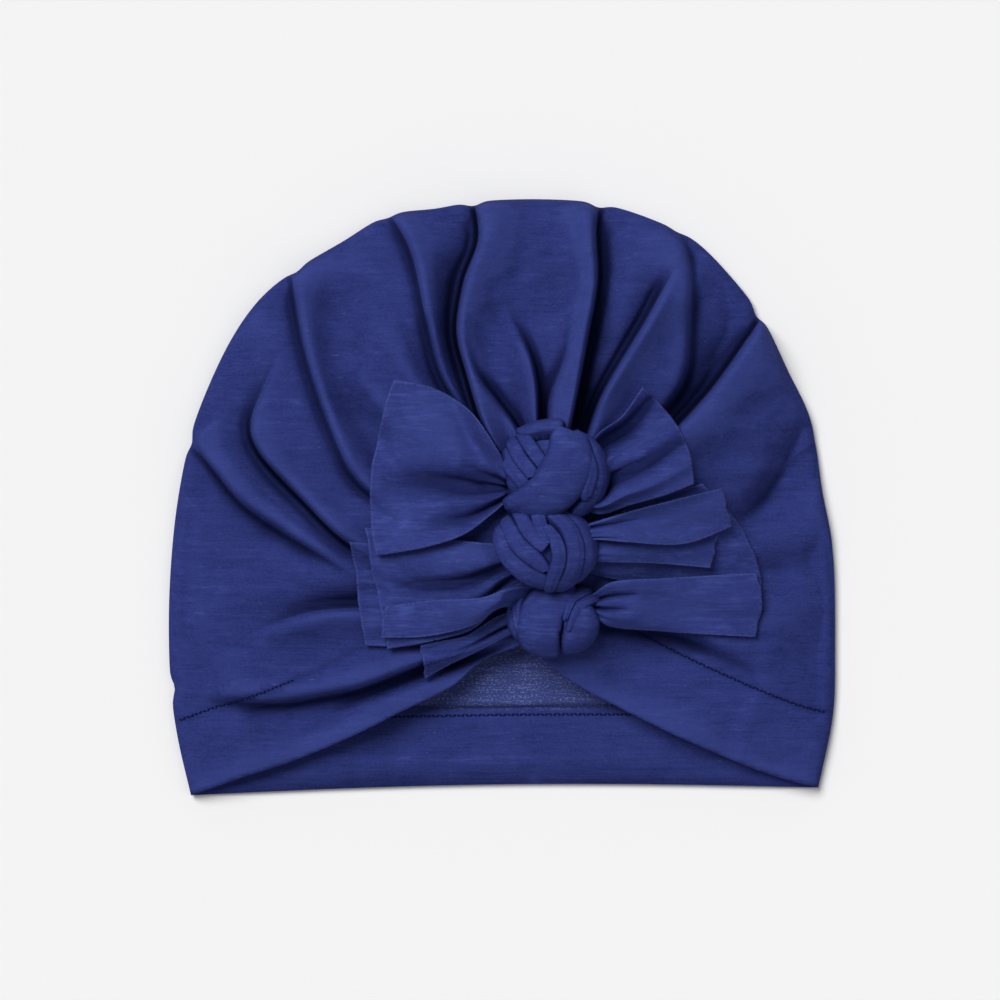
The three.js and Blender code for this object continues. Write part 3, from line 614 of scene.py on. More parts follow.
# Where folds cross the edge, as a share of it, and how deep each draws it in
def findNotches():
    found = []
    for clock, counter, *_, route in folds:
        away = np.linalg.norm(outline - place(*route[0]), axis=1)
        if away.min() < crown["notchNear"] and 0.05 < away.argmin() / len(outline) < 0.95:
            depth = crown["notch"] * min(1.5, abs(clock - counter))
            found.append((away.argmin() / (len(outline) - 1), depth))
    return found


notches = findNotches()
crownMiddle = place(0.52, 0.36)


def rim(at, inset):
    edge = along(outline, at)
    step = crownMiddle - edge
    for spot, depth in notches:
        inset = inset + depth * np.exp(-((at - spot) / crown["notchSpread"]) ** 2)[:, None]
    return edge + inset * step / np.linalg.norm(step, axis=-1, keepdims=True)


def gather(at):
    return mixed(gatherLow, gatherHigh, (2 * np.minimum(at, 1 - at))[..., None])


# The front from above, in rays from the gathering line to the edge
def onFront(share, out, inset):
    grid = gather(share)[None] + (rim(share, inset) - gather(share))[None] * out[:, None, None]
    for corner, hem in ((0, hemLeft), (1, hemRight)):
        near = np.clip(1 - np.abs(share - corner) / crown["hemBend"], 0, 1) ** 2
        near = np.where((share < 0.5) == (corner == 0), near, 0)
        ends = gather(np.array([corner]))[0], rim(np.array([corner]), 0)[0]
        straight = ends[0] + (ends[1] - ends[0]) * out[:, None]
        grid = grid + near[None, :, None] * (along(hem, out) - straight)[:, None]
    return grid


# Softens heights a little: steep creases that cross the grid slantwise would step without it
def softened(field, times=2):
    for _ in range(times):
        padded = np.pad(field, 1, mode="edge")
        field = (padded[:-2, 1:-1] + padded[2:, 1:-1] + 2 * padded[1:-1, 1:-1]) / 4
        padded = np.pad(field, 1, mode="edge")
        field = (padded[1:-1, :-2] + padded[1:-1, 2:] + 2 * padded[1:-1, 1:-1]) / 4
    return field


# Rows of the back: a few that roll round the edge, then flat ones at distances from the stitches of the
# straight hem, the last ones on the hem itself. Close rows carry the painted shadow line by the seam.
back = {
    "rolls": 5,
    "rows": [0.09, 0.06, 0.035, 0.016, 0.006, 0.0026, 0.0018, 0.001, 0.0003, -0.0004, -0.003,
             -0.6 * crown["hemDepth"], -crown["hemDepth"]],
    "firstRow": 0.02,        # room between the edge and the first flat row
    "hemStep": 0.0005,
    "lineAt": 0.0009,
    "lineWidth": 0.0007,
}


def makeBack(share):
    edge, rolls, hemDepth = crown["edge"] / 2, back["rolls"], crown["hemDepth"]
    ends = rim(np.array([0.0]), 0)[0], rim(np.array([1.0]), 0)[0]
    end = mixed(ends[0], ends[1], share[:, None])
    end[:, 1] += crown["height"] * crown["backBow"] * np.sin(np.pi * share)
    rimOut, rimIn = rim(share, 0), rim(share, crown["wall"])
    length = np.linalg.norm(end - rimOut, axis=1)
    inset = np.minimum(edge, 0.3 * length) / np.maximum(length, 1e-6)
    fromEnd = hemDepth + np.array(back["rows"])
    outside, inside, wrong, lineShade = [], [], [], []
    for row in range(rolls + len(fromEnd) + 1):
        if row <= rolls:
            lean = np.pi / 2 * row / rolls
            down = inset * (1 - np.cos(lean))
            turn = 1 - math.sin(lean)
        else:
            left = fromEnd[row - rolls - 1] * np.minimum(1, length / (fromEnd[0] + back["firstRow"]))
            down = np.maximum(inset, 1 - left / np.maximum(length, 1e-6))
            turn = 0.0
        outer = rimOut + (end - rimOut) * down[:, None]
        within = rimIn + (end - rimIn) * down[:, None]
        fromHem = within[:, 1] - end[:, 1]
        hemHere = 1 - smooth(hemDepth - back["hemStep"], hemDepth + back["hemStep"], fromHem)
        level = crown["wall"] + crown["hemTurn"] * hemHere * smooth(0, 2 * crown["edge"], length)
        zOut = np.full(len(share), edge * turn)
        zWithin = np.maximum(level, mixed(level, edge, turn))
        if row == 0:
            zWithin[:] = edge
        for corner in (0, -1):
            outer[corner] = rimOut[corner]
            within[corner] = rimIn[corner]
            zOut[corner] = edge
            zWithin[corner] = edge
        outside.append(np.column_stack([outer, zOut]))
        inside.append(np.column_stack([within, zWithin]))
        wrong.append(1 - hemHere)
        line = np.exp(-((fromHem - hemDepth - back["lineAt"]) / back["lineWidth"]) ** 2)
        lineShade.append(line * (turn == 0))
    return np.array(outside), np.array(inside), np.array(wrong), np.array(lineShade)


# Painted shade of the front, above zero in hollows and along the seam, below zero on crests, where it is a
# painted highlight. A point is set against the mean height of what lies within the reach of each blur.
shade = {
    "nearReach": 0.0028,
    "nearDepth": (0.0001, 0.0026),
    "wideReach": 0.008,
    "wideDepth": (0.0006, 0.006),
    "wideShare": 0.42,
    "crestHeight": (0.0003, 0.0035),
    "groove": 0.5,
}


def shadeFront(x, y, z, groove):
    near = readMap(blurred(heights, shade["nearReach"]), x, y) - z
    wide = readMap(blurred(heights, shade["wideReach"]), x, y) - z
    hollow = np.maximum(smooth(*shade["nearDepth"], near), shade["groove"] * groove)
    hollow = np.maximum(hollow, shade["wideShare"] * smooth(*shade["wideDepth"], wide))
    return hollow - smooth(*shade["crestHeight"], -wide) * (hollow < 0.05)


def makeCrown():
    edge, wall, hemDepth = crown["edge"] / 2, crown["wall"], crown["hemDepth"]
    share = columnShares()
    out = np.sin(np.pi / 2 * np.linspace(0, 1, crown["rows"] + 1)) ** 1.05
    flat = onFront(share, out, 0)
    x, y = flat[..., 0], flat[..., 1]
    fromArch = smooth(0, crown["archShare"], np.minimum(share, 1 - share))
    loft = mixed(crown["archLoft"], crown["loft"], fromArch)[None]
    dome = np.sqrt(np.maximum(0, 1 - out ** crown["domePower"]))[:, None]
    fromHem, _, _ = nearRoute(np.vstack([hemLeft[::-1], hemRight[1:]])[::14], x, y)
    hemBand = 1 - smooth(hemDepth - crown["hemStep"], hemDepth + crown["hemStep"], fromHem)
    turned = crown["hemTurn"] * hemBand
    hemRise = smooth(0, crown["hemRise"], dome)
    groove = np.exp(-((fromHem - hemDepth) / crown["grooveWidth"]) ** 2) * hemRise

    folding, lines, marks = foldHeight(x, y)
    random = np.random.default_rng(unevenness["seed"])
    addGathers(folding, x, y, random)
    addDents(folding, x, y, random)
    addSwells(folding, x, y, random)
    folding = softened(folding) * smooth(0, crown["foldRise"], dome)
    relief = 0.4 * turned * hemRise - crown["groove"] * groove
    least = mixed(edge, edge + 1.5 * wall + crown["leastRoom"], smooth(0, 0.3, dome))
    z = np.maximum(edge + loft * dome + folding + relief, least)
    z[-1] = edge
    front = np.dstack([flat, z])
    thickness = uprightWall(front, wall)
    thickness[0] = wall
    zIn = np.maximum(z - thickness - turned, wall + 0.0003 + turned)
    zIn[-1] = edge
    frontIn = np.dstack([onFront(share, out, wall), zIn])
    backOut, backIn, backWrong, lineShade = makeBack(share)

    addToGround(front)
    hollow = shadeFront(x, y, z, groove)
    marks = marks * smooth(0, 0.25, dome)
    addToGround(backIn, 6)
    body = Body()
    body.addGrid(front, False, hollow=hollow, lineOne=lines[0], markOne=marks[0],
                 lineTwo=lines[1], markTwo=marks[1])
    body.addGrid(frontIn, True, wrong=1 - hemBand)
    body.addGrid(backOut, False)
    # a painted shadow line runs along the hem's edge on the wrong side
    body.addGrid(backIn, True, wrong=backWrong, hollow=1.2 * lineShade)
    body.addGrid(np.array([front[:, 0], frontIn[:, 0]]), False)
    body.addGrid(np.array([front[:, -1], frontIn[:, -1]]), True)
    body.addGrid(np.array([backOut[-1], backIn[-1]]), False)
    return body.finish("crown_cloth", crownCloth)


crownPiece = makeCrown()
frontHeights = heights.copy()
print("crown done")

# Strip ends, lowest first: name, bow of the raw end, then upper edge, lower edge and lift for each
# section, and the pleats with place, depth and reach
tailLook = {
    "wall": 0.0009,
    "lift": 0.0062,
    "gap": 0.0003,           # over what lies below
    "ease": 0.0022,
    "pleat": 0.006,
    "pleatSpread": 0.085,
    "pleatShape": 1.4,
    "pleatFade": 0.7,
    "crest": (0.0004, 0.003),  # between these heights a strip gets a painted highlight
    "gather": 0.00045,       # fine ones beside the knot
    "gatherAt": 0.1,
    "gatherSpread": 0.14,
    "wave": 0.011,           # of the raw end, as a share of its width
    "fray": 0.002,
    "rawEdge": (0.0001, 0.0007),
    "columns": 64,
    "rows": 72,
}
tails = [
    ("tail_left_back", 0, [
        (0.53, 0.4, 0.53, 0.36, 0.3), (0.49, 0.4, 0.49, 0.33, 0.6), (0.42, 0.411, 0.425, 0.27, 0.3),
        (0.347, 0.419, 0.362, 0.253, 0.1), (0.275, 0.426, 0.296, 0.253, 0)],
     [(0.5, 0.5, 0.5)]),
    ("tail_left_bottom", 0, [
        (0.55, 0.315, 0.555, 0.285, 0.3), (0.5, 0.306, 0.515, 0.272, 0.7),
        (0.445, 0.27, 0.457, 0.24, 0.3), (0.41, 0.262, 0.42, 0.22, 0.1),
        (0.379, 0.255, 0.386, 0.198, 0)],
     [(0.6, 0.9, 0.7)]),
    ("tail_left_middle", 0, [
        (0.525, 0.43, 0.541, 0.366, 0.3), (0.494, 0.424, 0.505, 0.337, 0.9),
        (0.445, 0.428, 0.46, 0.284, 0.5), (0.37, 0.44, 0.401, 0.263, 0.3),
        (0.296, 0.45, 0.331, 0.248, 0.1)],
     [(0.5, 1.7, 0.9), (0.8, 0.9, 0.6)]),
    ("tail_left_fold", 0, [
        (0.56, 0.362, 0.545, 0.31, 0.3), (0.515, 0.353, 0.5, 0.318, 0.9),
        (0.47, 0.335, 0.46, 0.29, 0.4), (0.4, 0.33, 0.39, 0.27, 0.2), (0.327, 0.319, 0.32, 0.267, 0.1)],
     []),
    ("tail_left_top", 0.02, [
        (0.55, 0.53, 0.55, 0.506, 0.3), (0.516, 0.535, 0.516, 0.5, 1.3),
        (0.493, 0.579, 0.488, 0.475, 1), (0.452, 0.643, 0.446, 0.44, 0.8),
        (0.4, 0.68, 0.392, 0.419, 0.5), (0.341, 0.695, 0.313, 0.403, 0.2)],
     [(0.42, 1.2, 0.55), (0.58, 2.1, 0.95), (0.86, 1.1, 0.8)]),
    ("tail_right_back", 0.03, [
        (0.6, 0.45, 0.6, 0.39, 0.3), (0.644, 0.461, 0.644, 0.37, 0.3), (0.7, 0.49, 0.74, 0.35, 0.2),
        (0.796, 0.523, 0.886, 0.319, 0)],
     [(0.3, 0.5, 0.6)]),
    ("tail_right_bottom", 0.008, [
        (0.59, 0.332, 0.595, 0.314, 0.3), (0.63, 0.338, 0.633, 0.305, 0.9),
        (0.66, 0.359, 0.657, 0.287, 0.6), (0.744, 0.366, 0.737, 0.277, 0.3),
        (0.88, 0.374, 0.877, 0.267, 0.1)],
     [(0.3, 1.1, 0.4), (0.6, 0.9, 0.35)]),
    ("tail_right_lower", 0, [
        (0.6, 0.425, 0.6, 0.4, 0.3), (0.64, 0.434, 0.64, 0.394, 0.8), (0.73, 0.43, 0.722, 0.391, 0.4),
        (0.82, 0.438, 0.81, 0.383, 0.2)],
     []),
    ("tail_right_top", 0.02, [
        (0.6, 0.53, 0.61, 0.485, 0.3), (0.628, 0.55, 0.644, 0.472, 1.0), (0.638, 0.6, 0.69, 0.487, 0.9),
        (0.677, 0.634, 0.74, 0.503, 0.7), (0.707, 0.681, 0.784, 0.522, 0.5)],
     [(0.15, 2.6, 1.1), (0.36, -0.9, 1.0), (0.6, 2.2, 1.2), (0.84, -0.8, 1.2)]),
    ("tail_right_middle", 0, [
        (0.6, 0.445, 0.6, 0.428, 0.3), (0.632, 0.458, 0.64, 0.43, 1.0),
        (0.69, 0.477, 0.686, 0.426, 0.7), (0.759, 0.497, 0.769, 0.423, 0.5),
        (0.826, 0.515, 0.841, 0.451, 0.4)],
     [(0.3, 0.5, 0.45)]),
]
cutEdges = []


def makeTail(name, bow, sections, pleats):
    upper = curveThrough([row[:2] for row in sections])
    lower = curveThrough([row[2:4] for row in sections])
    runs = np.linspace(0, 1, tailLook["rows"] + 1)
    cross = np.linspace(0, 1, tailLook["columns"] + 1)
    a, b = along(upper, runs), along(lower, runs)
    width = np.linalg.norm(b - a, axis=1)[:, None]
    length = np.linalg.norm(np.diff(a, axis=0), axis=1).sum()
    random = np.random.default_rng(len(name) + round(1000 * sections[0][0]))

    # from above: the raw end bows out and is slightly frayed
    flat = a[:, None] + (b - a)[:, None] * cross[None, :, None]
    outward = np.gradient(a, axis=0) + np.gradient(b, axis=0)
    outward /= np.linalg.norm(outward, axis=1, keepdims=True)
    fray = sum(np.sin(cross * k + random.uniform(0, 6.28)) / k for k in (9, 17, 31)) * tailLook["fray"]
    bowing = bow * crown["width"] * np.sin(np.pi * cross)[None] * runs[:, None] ** 2
    flat = flat + (bowing + fray * runs[:, None] ** 6)[..., None] * outward[:, None]

    # heights over what lies below
    lift = np.interp(runs, np.linspace(0, 1, len(sections)), [row[4] for row in sections])[:, None]
    lift = tailLook["lift"] * lift * (0.6 + 0.4 * np.sin(np.pi * cross))[None]
    hollow = np.zeros((len(runs), len(cross)))
    for at, depth, reach in pleats:
        fade = np.clip(1 - runs / reach, 0, 1)[:, None] ** tailLook["pleatFade"]
        valley = np.exp(-(np.abs(cross - at) / tailLook["pleatSpread"]) ** tailLook["pleatShape"])[None]
        lift = lift - tailLook["pleat"] * depth * fade * valley
        hollow = hollow + max(0, depth) * fade * valley
    fine = np.sin(cross * 21 + random.uniform(0, 6) + 1.5 * np.sin(cross * 7))[None]
    near = np.exp(-((runs[:, None] - tailLook["gatherAt"]) / tailLook["gatherSpread"]) ** 2)
    lift = lift + tailLook["gather"] * fine * near
    wave = np.sin(cross * 6 + random.uniform(0, 6)) + 0.4 * np.sin(cross * 13 + 2 * runs[:, None])
    wave = tailLook["wave"] * width * wave * (runs ** 1.5)[:, None]
    least = readMap(spreadMax(0.0008), flat[..., 0], flat[..., 1]) + tailLook["gap"]
    eased = readMap(blurred(spreadMax(tailLook["ease"]), tailLook["ease"]), flat[..., 0], flat[..., 1])
    under = np.dstack([flat, np.maximum(least, eased + lift + wave)])
    over = under.copy()
    over[..., 2] += uprightWall(under, tailLook["wall"])

    inward = np.append(flat[len(runs) // 2, 0] - flat[len(runs) // 2, -1], 0)
    forward = np.append(a[-1] - a[0], 0)
    flip = np.cross(inward, forward)[2] > 0
    toSide = np.minimum(cross[None] * width, (1 - cross)[None] * width)
    raw = 1 - smooth(*tailLook["rawEdge"], np.minimum(toSide, (1 - runs)[:, None] * length))
    # painted shade in the pleats' valleys, and a painted highlight where a strip lifts
    hollow = np.clip(1.5 * hollow, 0, 1)
    crest = smooth(*tailLook["crest"], lift) * (1 - np.clip(3 * hollow, 0, 1))
    body = Body()
    body.addGrid(over, flip, raw=raw, hollow=0.9 * hollow - 0.8 * crest)
    body.addGrid(under, not flip, wrong=1.0, raw=raw)
    body.addGrid(np.array([over[0], under[0]]), not flip, raw=1.0)
    body.addGrid(np.array([over[-1], under[-1]]), flip, raw=1.0)
    body.addGrid(np.array([over[:, 0], under[:, 0]]), flip, raw=1.0)
    body.addGrid(np.array([over[:, -1], under[:, -1]]), not flip, raw=1.0)
    addToGround(over)
    middle = (over + under) / 2
    cutEdges.extend([middle[8:, 0], middle[-1], middle[8:, -1]])
    piece = body.finish(name + "_cloth", stripCloth)
    return piece, float(np.linalg.norm(a[-1] - a[0])), float(np.linalg.norm(b[-1] - a[-1]))


tailPieces = [(name, *makeTail(name, bow, sections, pleats)) for name, bow, sections, pleats in tails]
print("strip ends done")

# Knots: centre on the cap, half sizes, and the strands that wrap each one. A strand has its path
# from the knot's centre, the widths along it, the lift and the puff, all in millimetres.
knotLook = {
    "core": 0.93,            # the ball under the strands, as a share of the knot
    "topGap": 0.0012,
    "overrun": 1.18,         # each strand runs on past its ends
    "endWidth": 0.6,
    "tuck": 0.16,            # share of a strand over which its ends dive in
    "tuckDepth": 0.0012,
    "under": 0.0014,
    "pleat": 0.00007,
    "edgeShade": 0.85,
    "edgeFrom": 0.66,        # share of the half width where the shade starts
    "endShade": 0.5,
    "lengthSteps": 61,
    "widthSteps": 33,
}
knots = [
    ("knot_middle", (0.5637, 0.416), (14.6, 11.2, 9.5), [
        ([(-13.6, 5.4), (-11, -1.6), (-5.4, -7), (1, -9.6)], (3.6, 4.8, 5.4, 4.4), 0.5, 1.4),
        ([(-11.2, 7.6), (-7.6, 1.2), (-2.8, -3), (0, -5.5)], (4, 5.2, 5, 3), 0.8, 1.3),
        ([(-7.6, 9.8), (-4.4, 4.4), (-0.6, 0.4)], (4, 4.8, 3.6), 1.0, 1.3),
        ([(-2.6, 11.2), (-1.4, 6.4), (0.2, 2.4)], (4.4, 4.4, 3), 1.1, 1.2),
        ([(3.2, 11), (8, 8.2), (12, 3), (12.6, -3), (9.8, -9.4)], (4.4, 5, 5.2, 5.2, 4), 0.2, 1.4),
        ([(1.4, 9.4), (5.8, 6), (8.2, 0.4), (7.4, -6), (4.4, -11)], (3, 4.8, 5.6, 5.4, 4.4), 0.9, 1.4),
        ([(0.4, 5.4), (2.8, 2), (3.6, -3), (1.2, -9.8)], (2.6, 4, 4.6, 3.6), 1.4, 1.3)]),
    ("knot_top", (0.5766, 0.5403), (15.6, 12.9, 9.5), [
        ([(7.2, 11), (13.4, 6.2), (14.9, -1.2), (13, -8.3)], (3, 4, 4.4, 4), 0.0, 1.2),
        ([(1, 10.6), (9.4, 8), (12.6, 0.6), (11.4, -6.5), (6.5, -11.6)], (3.4, 4.2, 4.6, 4.6, 4), 0.7, 1.3),
        ([(0.6, 9), (6.6, 7), (9.8, 1), (8.6, -5.6)], (3, 4, 4.4, 4), 1.5, 1.3),
        ([(-14.8, 6.6), (-12.4, 1.6), (-8.4, -3.6)], (4, 4.4, 4), 0.4, 1.3),
        ([(-12.2, 9), (-9.4, 3.8), (-5.8, -0.8)], (4, 4.4, 4), 0.8, 1.3),
        ([(-9, 10.6), (-6.2, 6.4), (-3, 2.2)], (3.8, 4.2, 4), 1.1, 1.3),
        ([(-8.6, 10.6), (-4, 12), (0.6, 12.8)], (2.6, 3.8, 4.6), 1.7, 1.5),
        ([(3.8, 9.4), (3.6, 2), (-2, -5.6), (-12.6, -9.8)], (10, 15.5, 14, 6), 1.5, 2.0)]),
    ("knot_bottom", (0.5808, 0.2987), (13.4, 9.2, 7.5), [
        ([(-12.4, 7), (-13.2, 1), (-10.6, -4.4), (-6.4, -8.6)], (2.6, 3, 3, 2.6), 0.6, 1.1),
        ([(-9.4, 8), (-11, 3), (-10, -2.6), (-7, -6.6)], (2.4, 2.8, 2.6, 2.2), 1.1, 1.1),
        ([(3.4, 5), (5.8, 1.8), (7, -2.4), (5, -8.4)], (6, 10, 11.4, 8.4), 0.2, 1.8),
        ([(12.8, 5.4), (9, 4.8), (5.6, 2.6), (3.4, -2.4)], (2.2, 2.8, 2.8, 1.6), 1.4, 0.9),
        ([(12.2, 7.8), (8, 7), (4.4, 5), (2.4, 0.4)], (2.2, 2.8, 2.8, 1.6), 1.7, 0.9),
        ([(2, 7.8), (-3, 3), (-5, -3), (-3.4, -8.8)], (8, 12.5, 13.5, 9), 1.0, 1.9)]),
]


# Points over an ellipsoid for points on the plan, which run on down its sides, with the normals
def onBall(flat, half):
    ratio = flat / half[:2]
    reach = np.linalg.norm(ratio, axis=-1, keepdims=True)
    level = np.where(reach < 1, np.sqrt(np.maximum(0, 1 - reach ** 2)), 1 - reach)
    unit = np.concatenate([ratio / np.maximum(reach, 1e-6) * np.minimum(reach, 1), level], axis=-1)
    normal = unit / half
    return unit * half, normal / np.maximum(np.linalg.norm(normal, axis=-1, keepdims=True), 1e-9)


def addStrand(body, centre, half, random, path, widths, lift, puff):
    points = np.array(path, float) / 1000
    points = np.vstack([points[0] * knotLook["overrun"], points, points[-1] * knotLook["overrun"]])
    widths = [widths[0] * knotLook["endWidth"], *widths, widths[-1] * knotLook["endWidth"]]
    share = np.linspace(0, 1, knotLook["lengthSteps"])
    pointsAt = np.linspace(0, 1, len(points))
    centreLine = smoothLine(points, pointsAt, share)
    width = np.interp(share, pointsAt, np.array(widths) / 1000)
    width = np.convolve(np.pad(width, 6, mode="edge"), np.ones(13) / 13, "valid")
    step = np.gradient(centreLine, axis=0)
    step /= np.linalg.norm(step, axis=1, keepdims=True)
    across = np.stack([-step[:, 1], step[:, 0]], axis=1)
    lean = np.linspace(-1, 1, knotLook["widthSteps"])
    flat = centreLine[:, None] + (across * width[:, None] / 2)[:, None] * lean[None, :, None]
    point, normal = onBall(flat, half)
    fullness = np.sqrt(np.maximum(0, 1 - np.abs(lean) ** 2.6))
    tuck = (smooth(0, knotLook["tuck"], share) * smooth(1, 1 - knotLook["tuck"], share))[:, None]
    wave = np.sin(2.4 * np.pi * lean[None] + random.uniform(0, 6.28) + 2 * share[:, None])
    pleat = knotLook["pleat"] * wave * (1 - lean[None] ** 2)
    rise = (lift / 1000 + puff / 1000 * fullness[None]) * tuck - knotLook["tuckDepth"] * (1 - tuck) + pleat
    rise = np.where(np.abs(lean[None]) >= 1, -knotLook["tuckDepth"], rise)
    over = point + normal * rise[..., None] + centre
    under = point - normal * knotLook["under"] + centre
    under[:, 0] = over[:, 0]
    under[:, -1] = over[:, -1]
    # painted shade along a strand's edges and where its ends dive in
    atEdge = knotLook["edgeShade"] * smooth(knotLook["edgeFrom"], 1, np.abs(lean))[None]
    body.addGrid(over, True, hollow=atEdge * tuck + knotLook["endShade"] * (1 - tuck))
    body.addGrid(under, False)
    body.addGrid(np.array([over[0], under[0]]), False)
    body.addGrid(np.array([over[-1], under[-1]]), True)


def makeKnot(name, where, half, strands):
    half = np.array(half) / 1000
    centre = np.append(place(*where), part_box(name)[1][2] - half[2] - knotLook["topGap"])
    body = Body()
    u = np.linspace(0, 2 * np.pi, 65)[None]
    v = np.linspace(0, np.pi, 33)[:, None]
    ball = np.dstack([np.sin(v) * np.cos(u), np.sin(v) * np.sin(u), np.cos(v) + 0 * u])
    body.addGrid(ball * half * knotLook["core"] + centre, True)
    random = np.random.default_rng(len(name))
    for strand in strands:
        addStrand(body, centre, half, random, *strand)
    return body.finish(name + "_cloth", stripCloth)


knotPieces = [(name, makeKnot(name, *shape)) for name, *shape in knots]
print("knots done")


# One set of nodes lays small rods along a line: stitches, and the loose threads of a cut edge
def rodNodes():
    group = bpy.data.node_groups.new("rods_on_line", "GeometryNodeTree")
    sockets = {
        "Line": "NodeSocketGeometry",
        "Pitch": "NodeSocketFloat",
        "Length": "NodeSocketFloat",
        "Thickness": "NodeSocketFloat",
        "Turn": "NodeSocketFloat",
        "Jitter": "NodeSocketFloat",
        "Seed": "NodeSocketInt",
        "Material": "NodeSocketMaterial",
    }
    for label, kind in sockets.items():
        group.interface.new_socket(name=label, in_out="INPUT", socket_type=kind)
    group.interface.new_socket(name="Rods", in_out="OUTPUT", socket_type="NodeSocketGeometry")
    given = group.nodes.new("NodeGroupInput").outputs
    made = group.nodes.new("NodeGroupOutput")

    def node(kind, links=None, values=None, **settings):
        item = group.nodes.new(kind)
        for label, value in settings.items():
            setattr(item, label, value)
        for key, value in (values or {}).items():
            item.inputs[key].default_value = value
        for key, socket in (links or {}).items():
            group.links.new(socket, item.inputs[key])
        return item

    line = node("GeometryNodeMeshToCurve", {"Mesh": given["Line"]})
    spots = node("GeometryNodeCurveToPoints", {"Curve": line.outputs[0], "Length": given["Pitch"]},
                 mode="LENGTH")
    size = node("ShaderNodeCombineXYZ", {0: given["Thickness"], 1: given["Thickness"], 2: given["Length"]})
    rod = node("GeometryNodeMeshUVSphere", values={"Segments": 8, "Rings": 6, "Radius": 0.5})
    # each rod swings to the other side of the line, and a little by chance
    least = node("ShaderNodeMath", {0: given["Jitter"]}, {1: -1.0}, operation="MULTIPLY")
    spin = node("FunctionNodeRandomValue", {2: least.outputs[0], 3: given["Jitter"], "Seed": given["Seed"]},
                data_type="FLOAT")
    index = node("GeometryNodeInputIndex")
    parity = node("ShaderNodeMath", {0: index.outputs[0]}, {1: 2.0}, operation="MODULO")
    swing = node("ShaderNodeMath", {0: parity.outputs[0]}, {1: 2.0, 2: -1.0}, operation="MULTIPLY_ADD")
    turn = node("ShaderNodeMath", {0: swing.outputs[0], 1: given["Turn"], 2: spin.outputs[1]},
                operation="MULTIPLY_ADD")
    angles = node("ShaderNodeCombineXYZ", {2: turn.outputs[0]})
    swung = node("FunctionNodeEulerToRotation", {0: angles.outputs[0]})
    facing = node("FunctionNodeRotateRotation", {0: spots.outputs["Rotation"], 1: swung.outputs[0]},
                  rotation_space="GLOBAL")
    rods = node("GeometryNodeInstanceOnPoints",
                {"Points": spots.outputs["Points"], "Instance": rod.outputs[0],
                 "Rotation": facing.outputs[0], "Scale": size.outputs[0]})
    real = node("GeometryNodeRealizeInstances", {0: rods.outputs[0]})
    smoothRods = node("GeometryNodeSetShadeSmooth", {0: real.outputs[0]})
    painted = node("GeometryNodeSetMaterial",
                   {"Geometry": smoothRods.outputs[0], "Material": given["Material"]})
    group.links.new(painted.outputs[0], made.inputs[0])
    return group


rodGroup = rodNodes()


def rodsAlong(name, lines, values):
    points = np.vstack(lines)
    edges = []
    start = 0
    for line in lines:
        edges += [(start + at, start + at + 1) for at in range(len(line) - 1)]
        start += len(line)
    path = bpy.data.meshes.new(name + "_path")
    path.from_pydata(points.tolist(), edges, [])
    holder = bpy.data.objects.new(name + "_path", path)
    bpy.context.collection.objects.link(holder)
    modifier = holder.modifiers.new("rods", "NODES")
    modifier.node_group = rodGroup
    for item in rodGroup.interface.items_tree:
        if item.in_out == "INPUT" and item.name in values:
            modifier[item.identifier] = values[item.name]
    depsgraph = bpy.context.evaluated_depsgraph_get()
    mesh = bpy.data.meshes.new_from_object(holder.evaluated_get(depsgraph), depsgraph=depsgraph)
    bpy.data.objects.remove(holder)
    piece = bpy.data.objects.new(name, mesh)
    bpy.context.collection.objects.link(piece)
    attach(piece, "root")
    return piece


stitch = {
    "Pitch": 0.00125,
    "Length": 0.0012,
    "Thickness": 0.0006,
    "Turn": 0.55,
    "Jitter": 0.15,
    "Seed": 3,
    "Material": hemThread,
}
seam = {
    "rise": 0.0001,          # the stitches' middle over the cloth
    "backInset": 0.0016,     # how far within the hem's depth they run on the back
    "backRise": crown["wall"] + crown["hemTurn"] + 0.0001,
    "underRise": 0.00024,
}


# The seam of the front hem, either side, laid on the front
def frontSeam(hem, side, shares):
    step = np.gradient(hem, axis=0)
    step /= np.linalg.norm(step, axis=1, keepdims=True)
    line = hem + side * crown["hemDepth"] * np.column_stack([-step[:, 1], step[:, 0]])
    line = along(line, np.linspace(*shares, 120))
    return np.column_stack([line, readMap(frontHeights, line[:, 0], line[:, 1]) + seam["rise"]])


# The seam of the straight hem, on the inside of the back or under it
def backSeam(shares, count, rise):
    run = np.linspace(*shares, count)[:, None]
    line = mixed(place(0.033, 0.0), place(0.975, 0.013), run)
    bow = crown["height"] * crown["backBow"] * np.sin(np.pi * run)
    line[:, 1:] += bow + crown["hemDepth"] - seam["backInset"]
    return np.column_stack([line, np.full(count, rise)])


seams = [frontSeam(hemLeft, -1, (0.62, 0.955)), frontSeam(hemRight, 1, (0.22, 0.955)),
         backSeam((0.2, 0.86), 160, seam["backRise"]), backSeam((0.02, 0.98), 200, seam["underRise"])]
rodsAlong("hem_stitches", seams, stitch)
threads = {
    "Pitch": 0.0011,
    "Length": 0.0011,
    "Thickness": 0.00011,
    "Turn": 0.5,
    "Jitter": 1.1,
    "Seed": 11,
    "Material": stripCloth,
}
rodsAlong("loose_threads", cutEdges, threads)
print("stitches and threads done")

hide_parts("crown")
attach(crownPiece, "root")
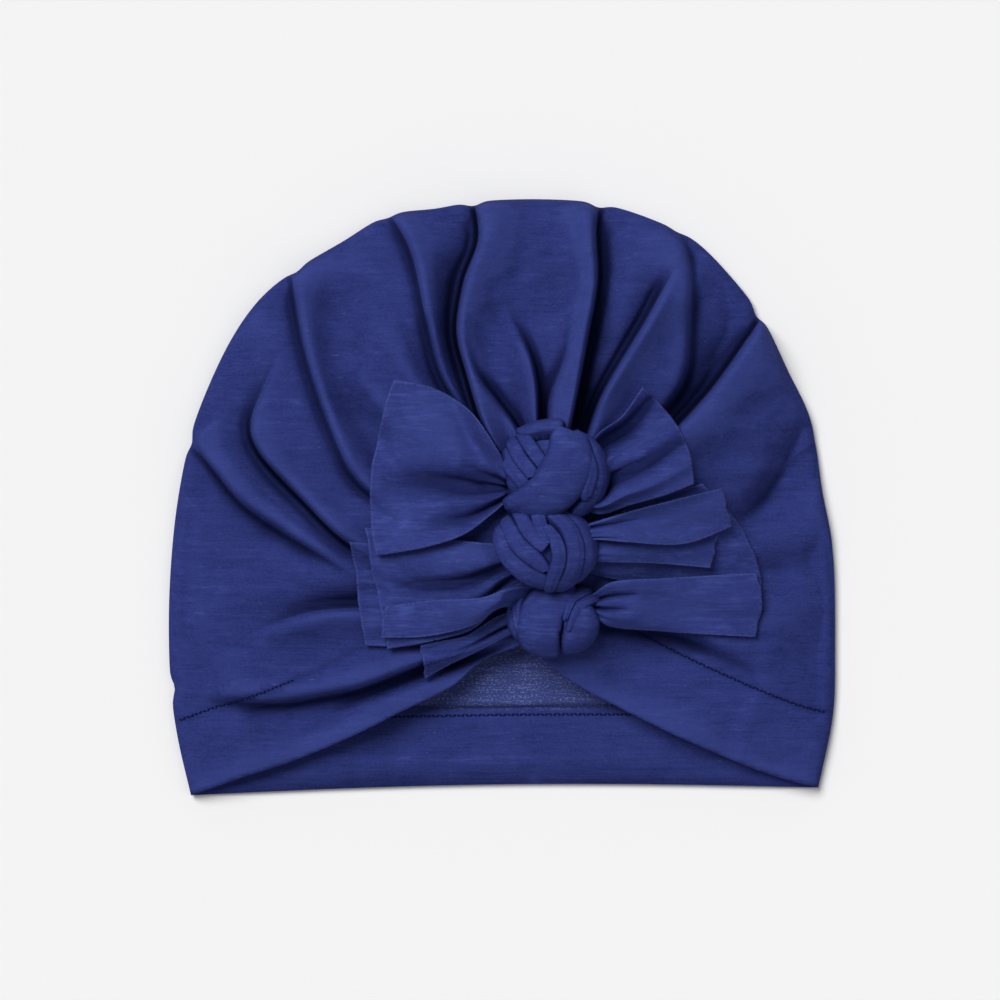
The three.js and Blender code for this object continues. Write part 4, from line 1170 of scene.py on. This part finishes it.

# A strip's flat size, its own length and width larger by what its folds take up, is worked out here but not
# used
leastStrip = 0.02
oneSide = 0.97 / 2           # the share of a strip's surface that is one side of the cloth
for name, piece, length, wide in tailPieces:
    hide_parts(name)
    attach(piece, "root")
    area = sum(face.area for face in piece.data.polygons) * oneSide
    wide, length = max(wide, leastStrip), max(length, leastStrip)
    stretch = max(1.0, (area / (wide * length)) ** 0.5)
    wide * stretch * 1.01
    length * stretch * 1.01
for name, piece in knotPieces:
    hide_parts(name)
    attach(piece, "root")

half = 3.0
floorPoints = [(-half, -half, 0), (half, -half, 0), (half, half, 0), (-half, half, 0)]
floorPiece = makeMesh("floor", floorPoints, [(0, 1, 2, 3)])
floorPiece.data.materials.append(plainMaterial("pale_floor", (0.83, 0.83, 0.835, 1), 0.9, 0.1))

# Lights: strength, width in degrees, and where each one shines from
lights = {
    "key": (2.91, 34, (-0.44, 0.5, 0.95)),
    "fill": (0.3, 60, (0.8, -0.4, 1)),
}
for name, (power, wide, spot) in lights.items():
    data = bpy.data.lights.new(name, "SUN")
    data.energy = power
    data.angle = math.radians(wide)
    lamp = bpy.data.objects.new(name, data)
    lamp.location = spot
    lamp.rotation_euler = (math.atan2(math.hypot(spot[0], spot[1]), spot[2]), 0,
                           math.atan2(spot[1], spot[0]) + math.pi / 2)
    bpy.context.collection.objects.link(lamp)
world = bpy.data.worlds.new("studio")
world.use_nodes = True
world.node_tree.nodes["Background"].inputs["Color"].default_value = (1, 1, 1, 1)
world.node_tree.nodes["Background"].inputs["Strength"].default_value = 0.26
bpy.context.scene.world = world
bpy.context.scene.view_settings.view_transform = "Standard"

view = {
    "pixel": 0.0003,         # what a pixel of the picture is at the cap
    "pixels": 1000,          # across the picture
    "height": 1.5,
    "level": 0.004,          # the height at which a pixel has that size
    "across": -0.0006,
    "up": -0.0008,
    "sensor": 36,
}
cameraData = bpy.data.cameras.new("camera")
cameraData.sensor_width = view["sensor"]
cameraData.lens = view["sensor"] * (view["height"] - view["level"]) / (view["pixels"] * view["pixel"])
camera = bpy.data.objects.new("camera", cameraData)
camera.location = (view["across"], view["up"], view["height"])
bpy.context.collection.objects.link(camera)
bpy.context.scene.camera = camera
print("floor, lights and camera done")
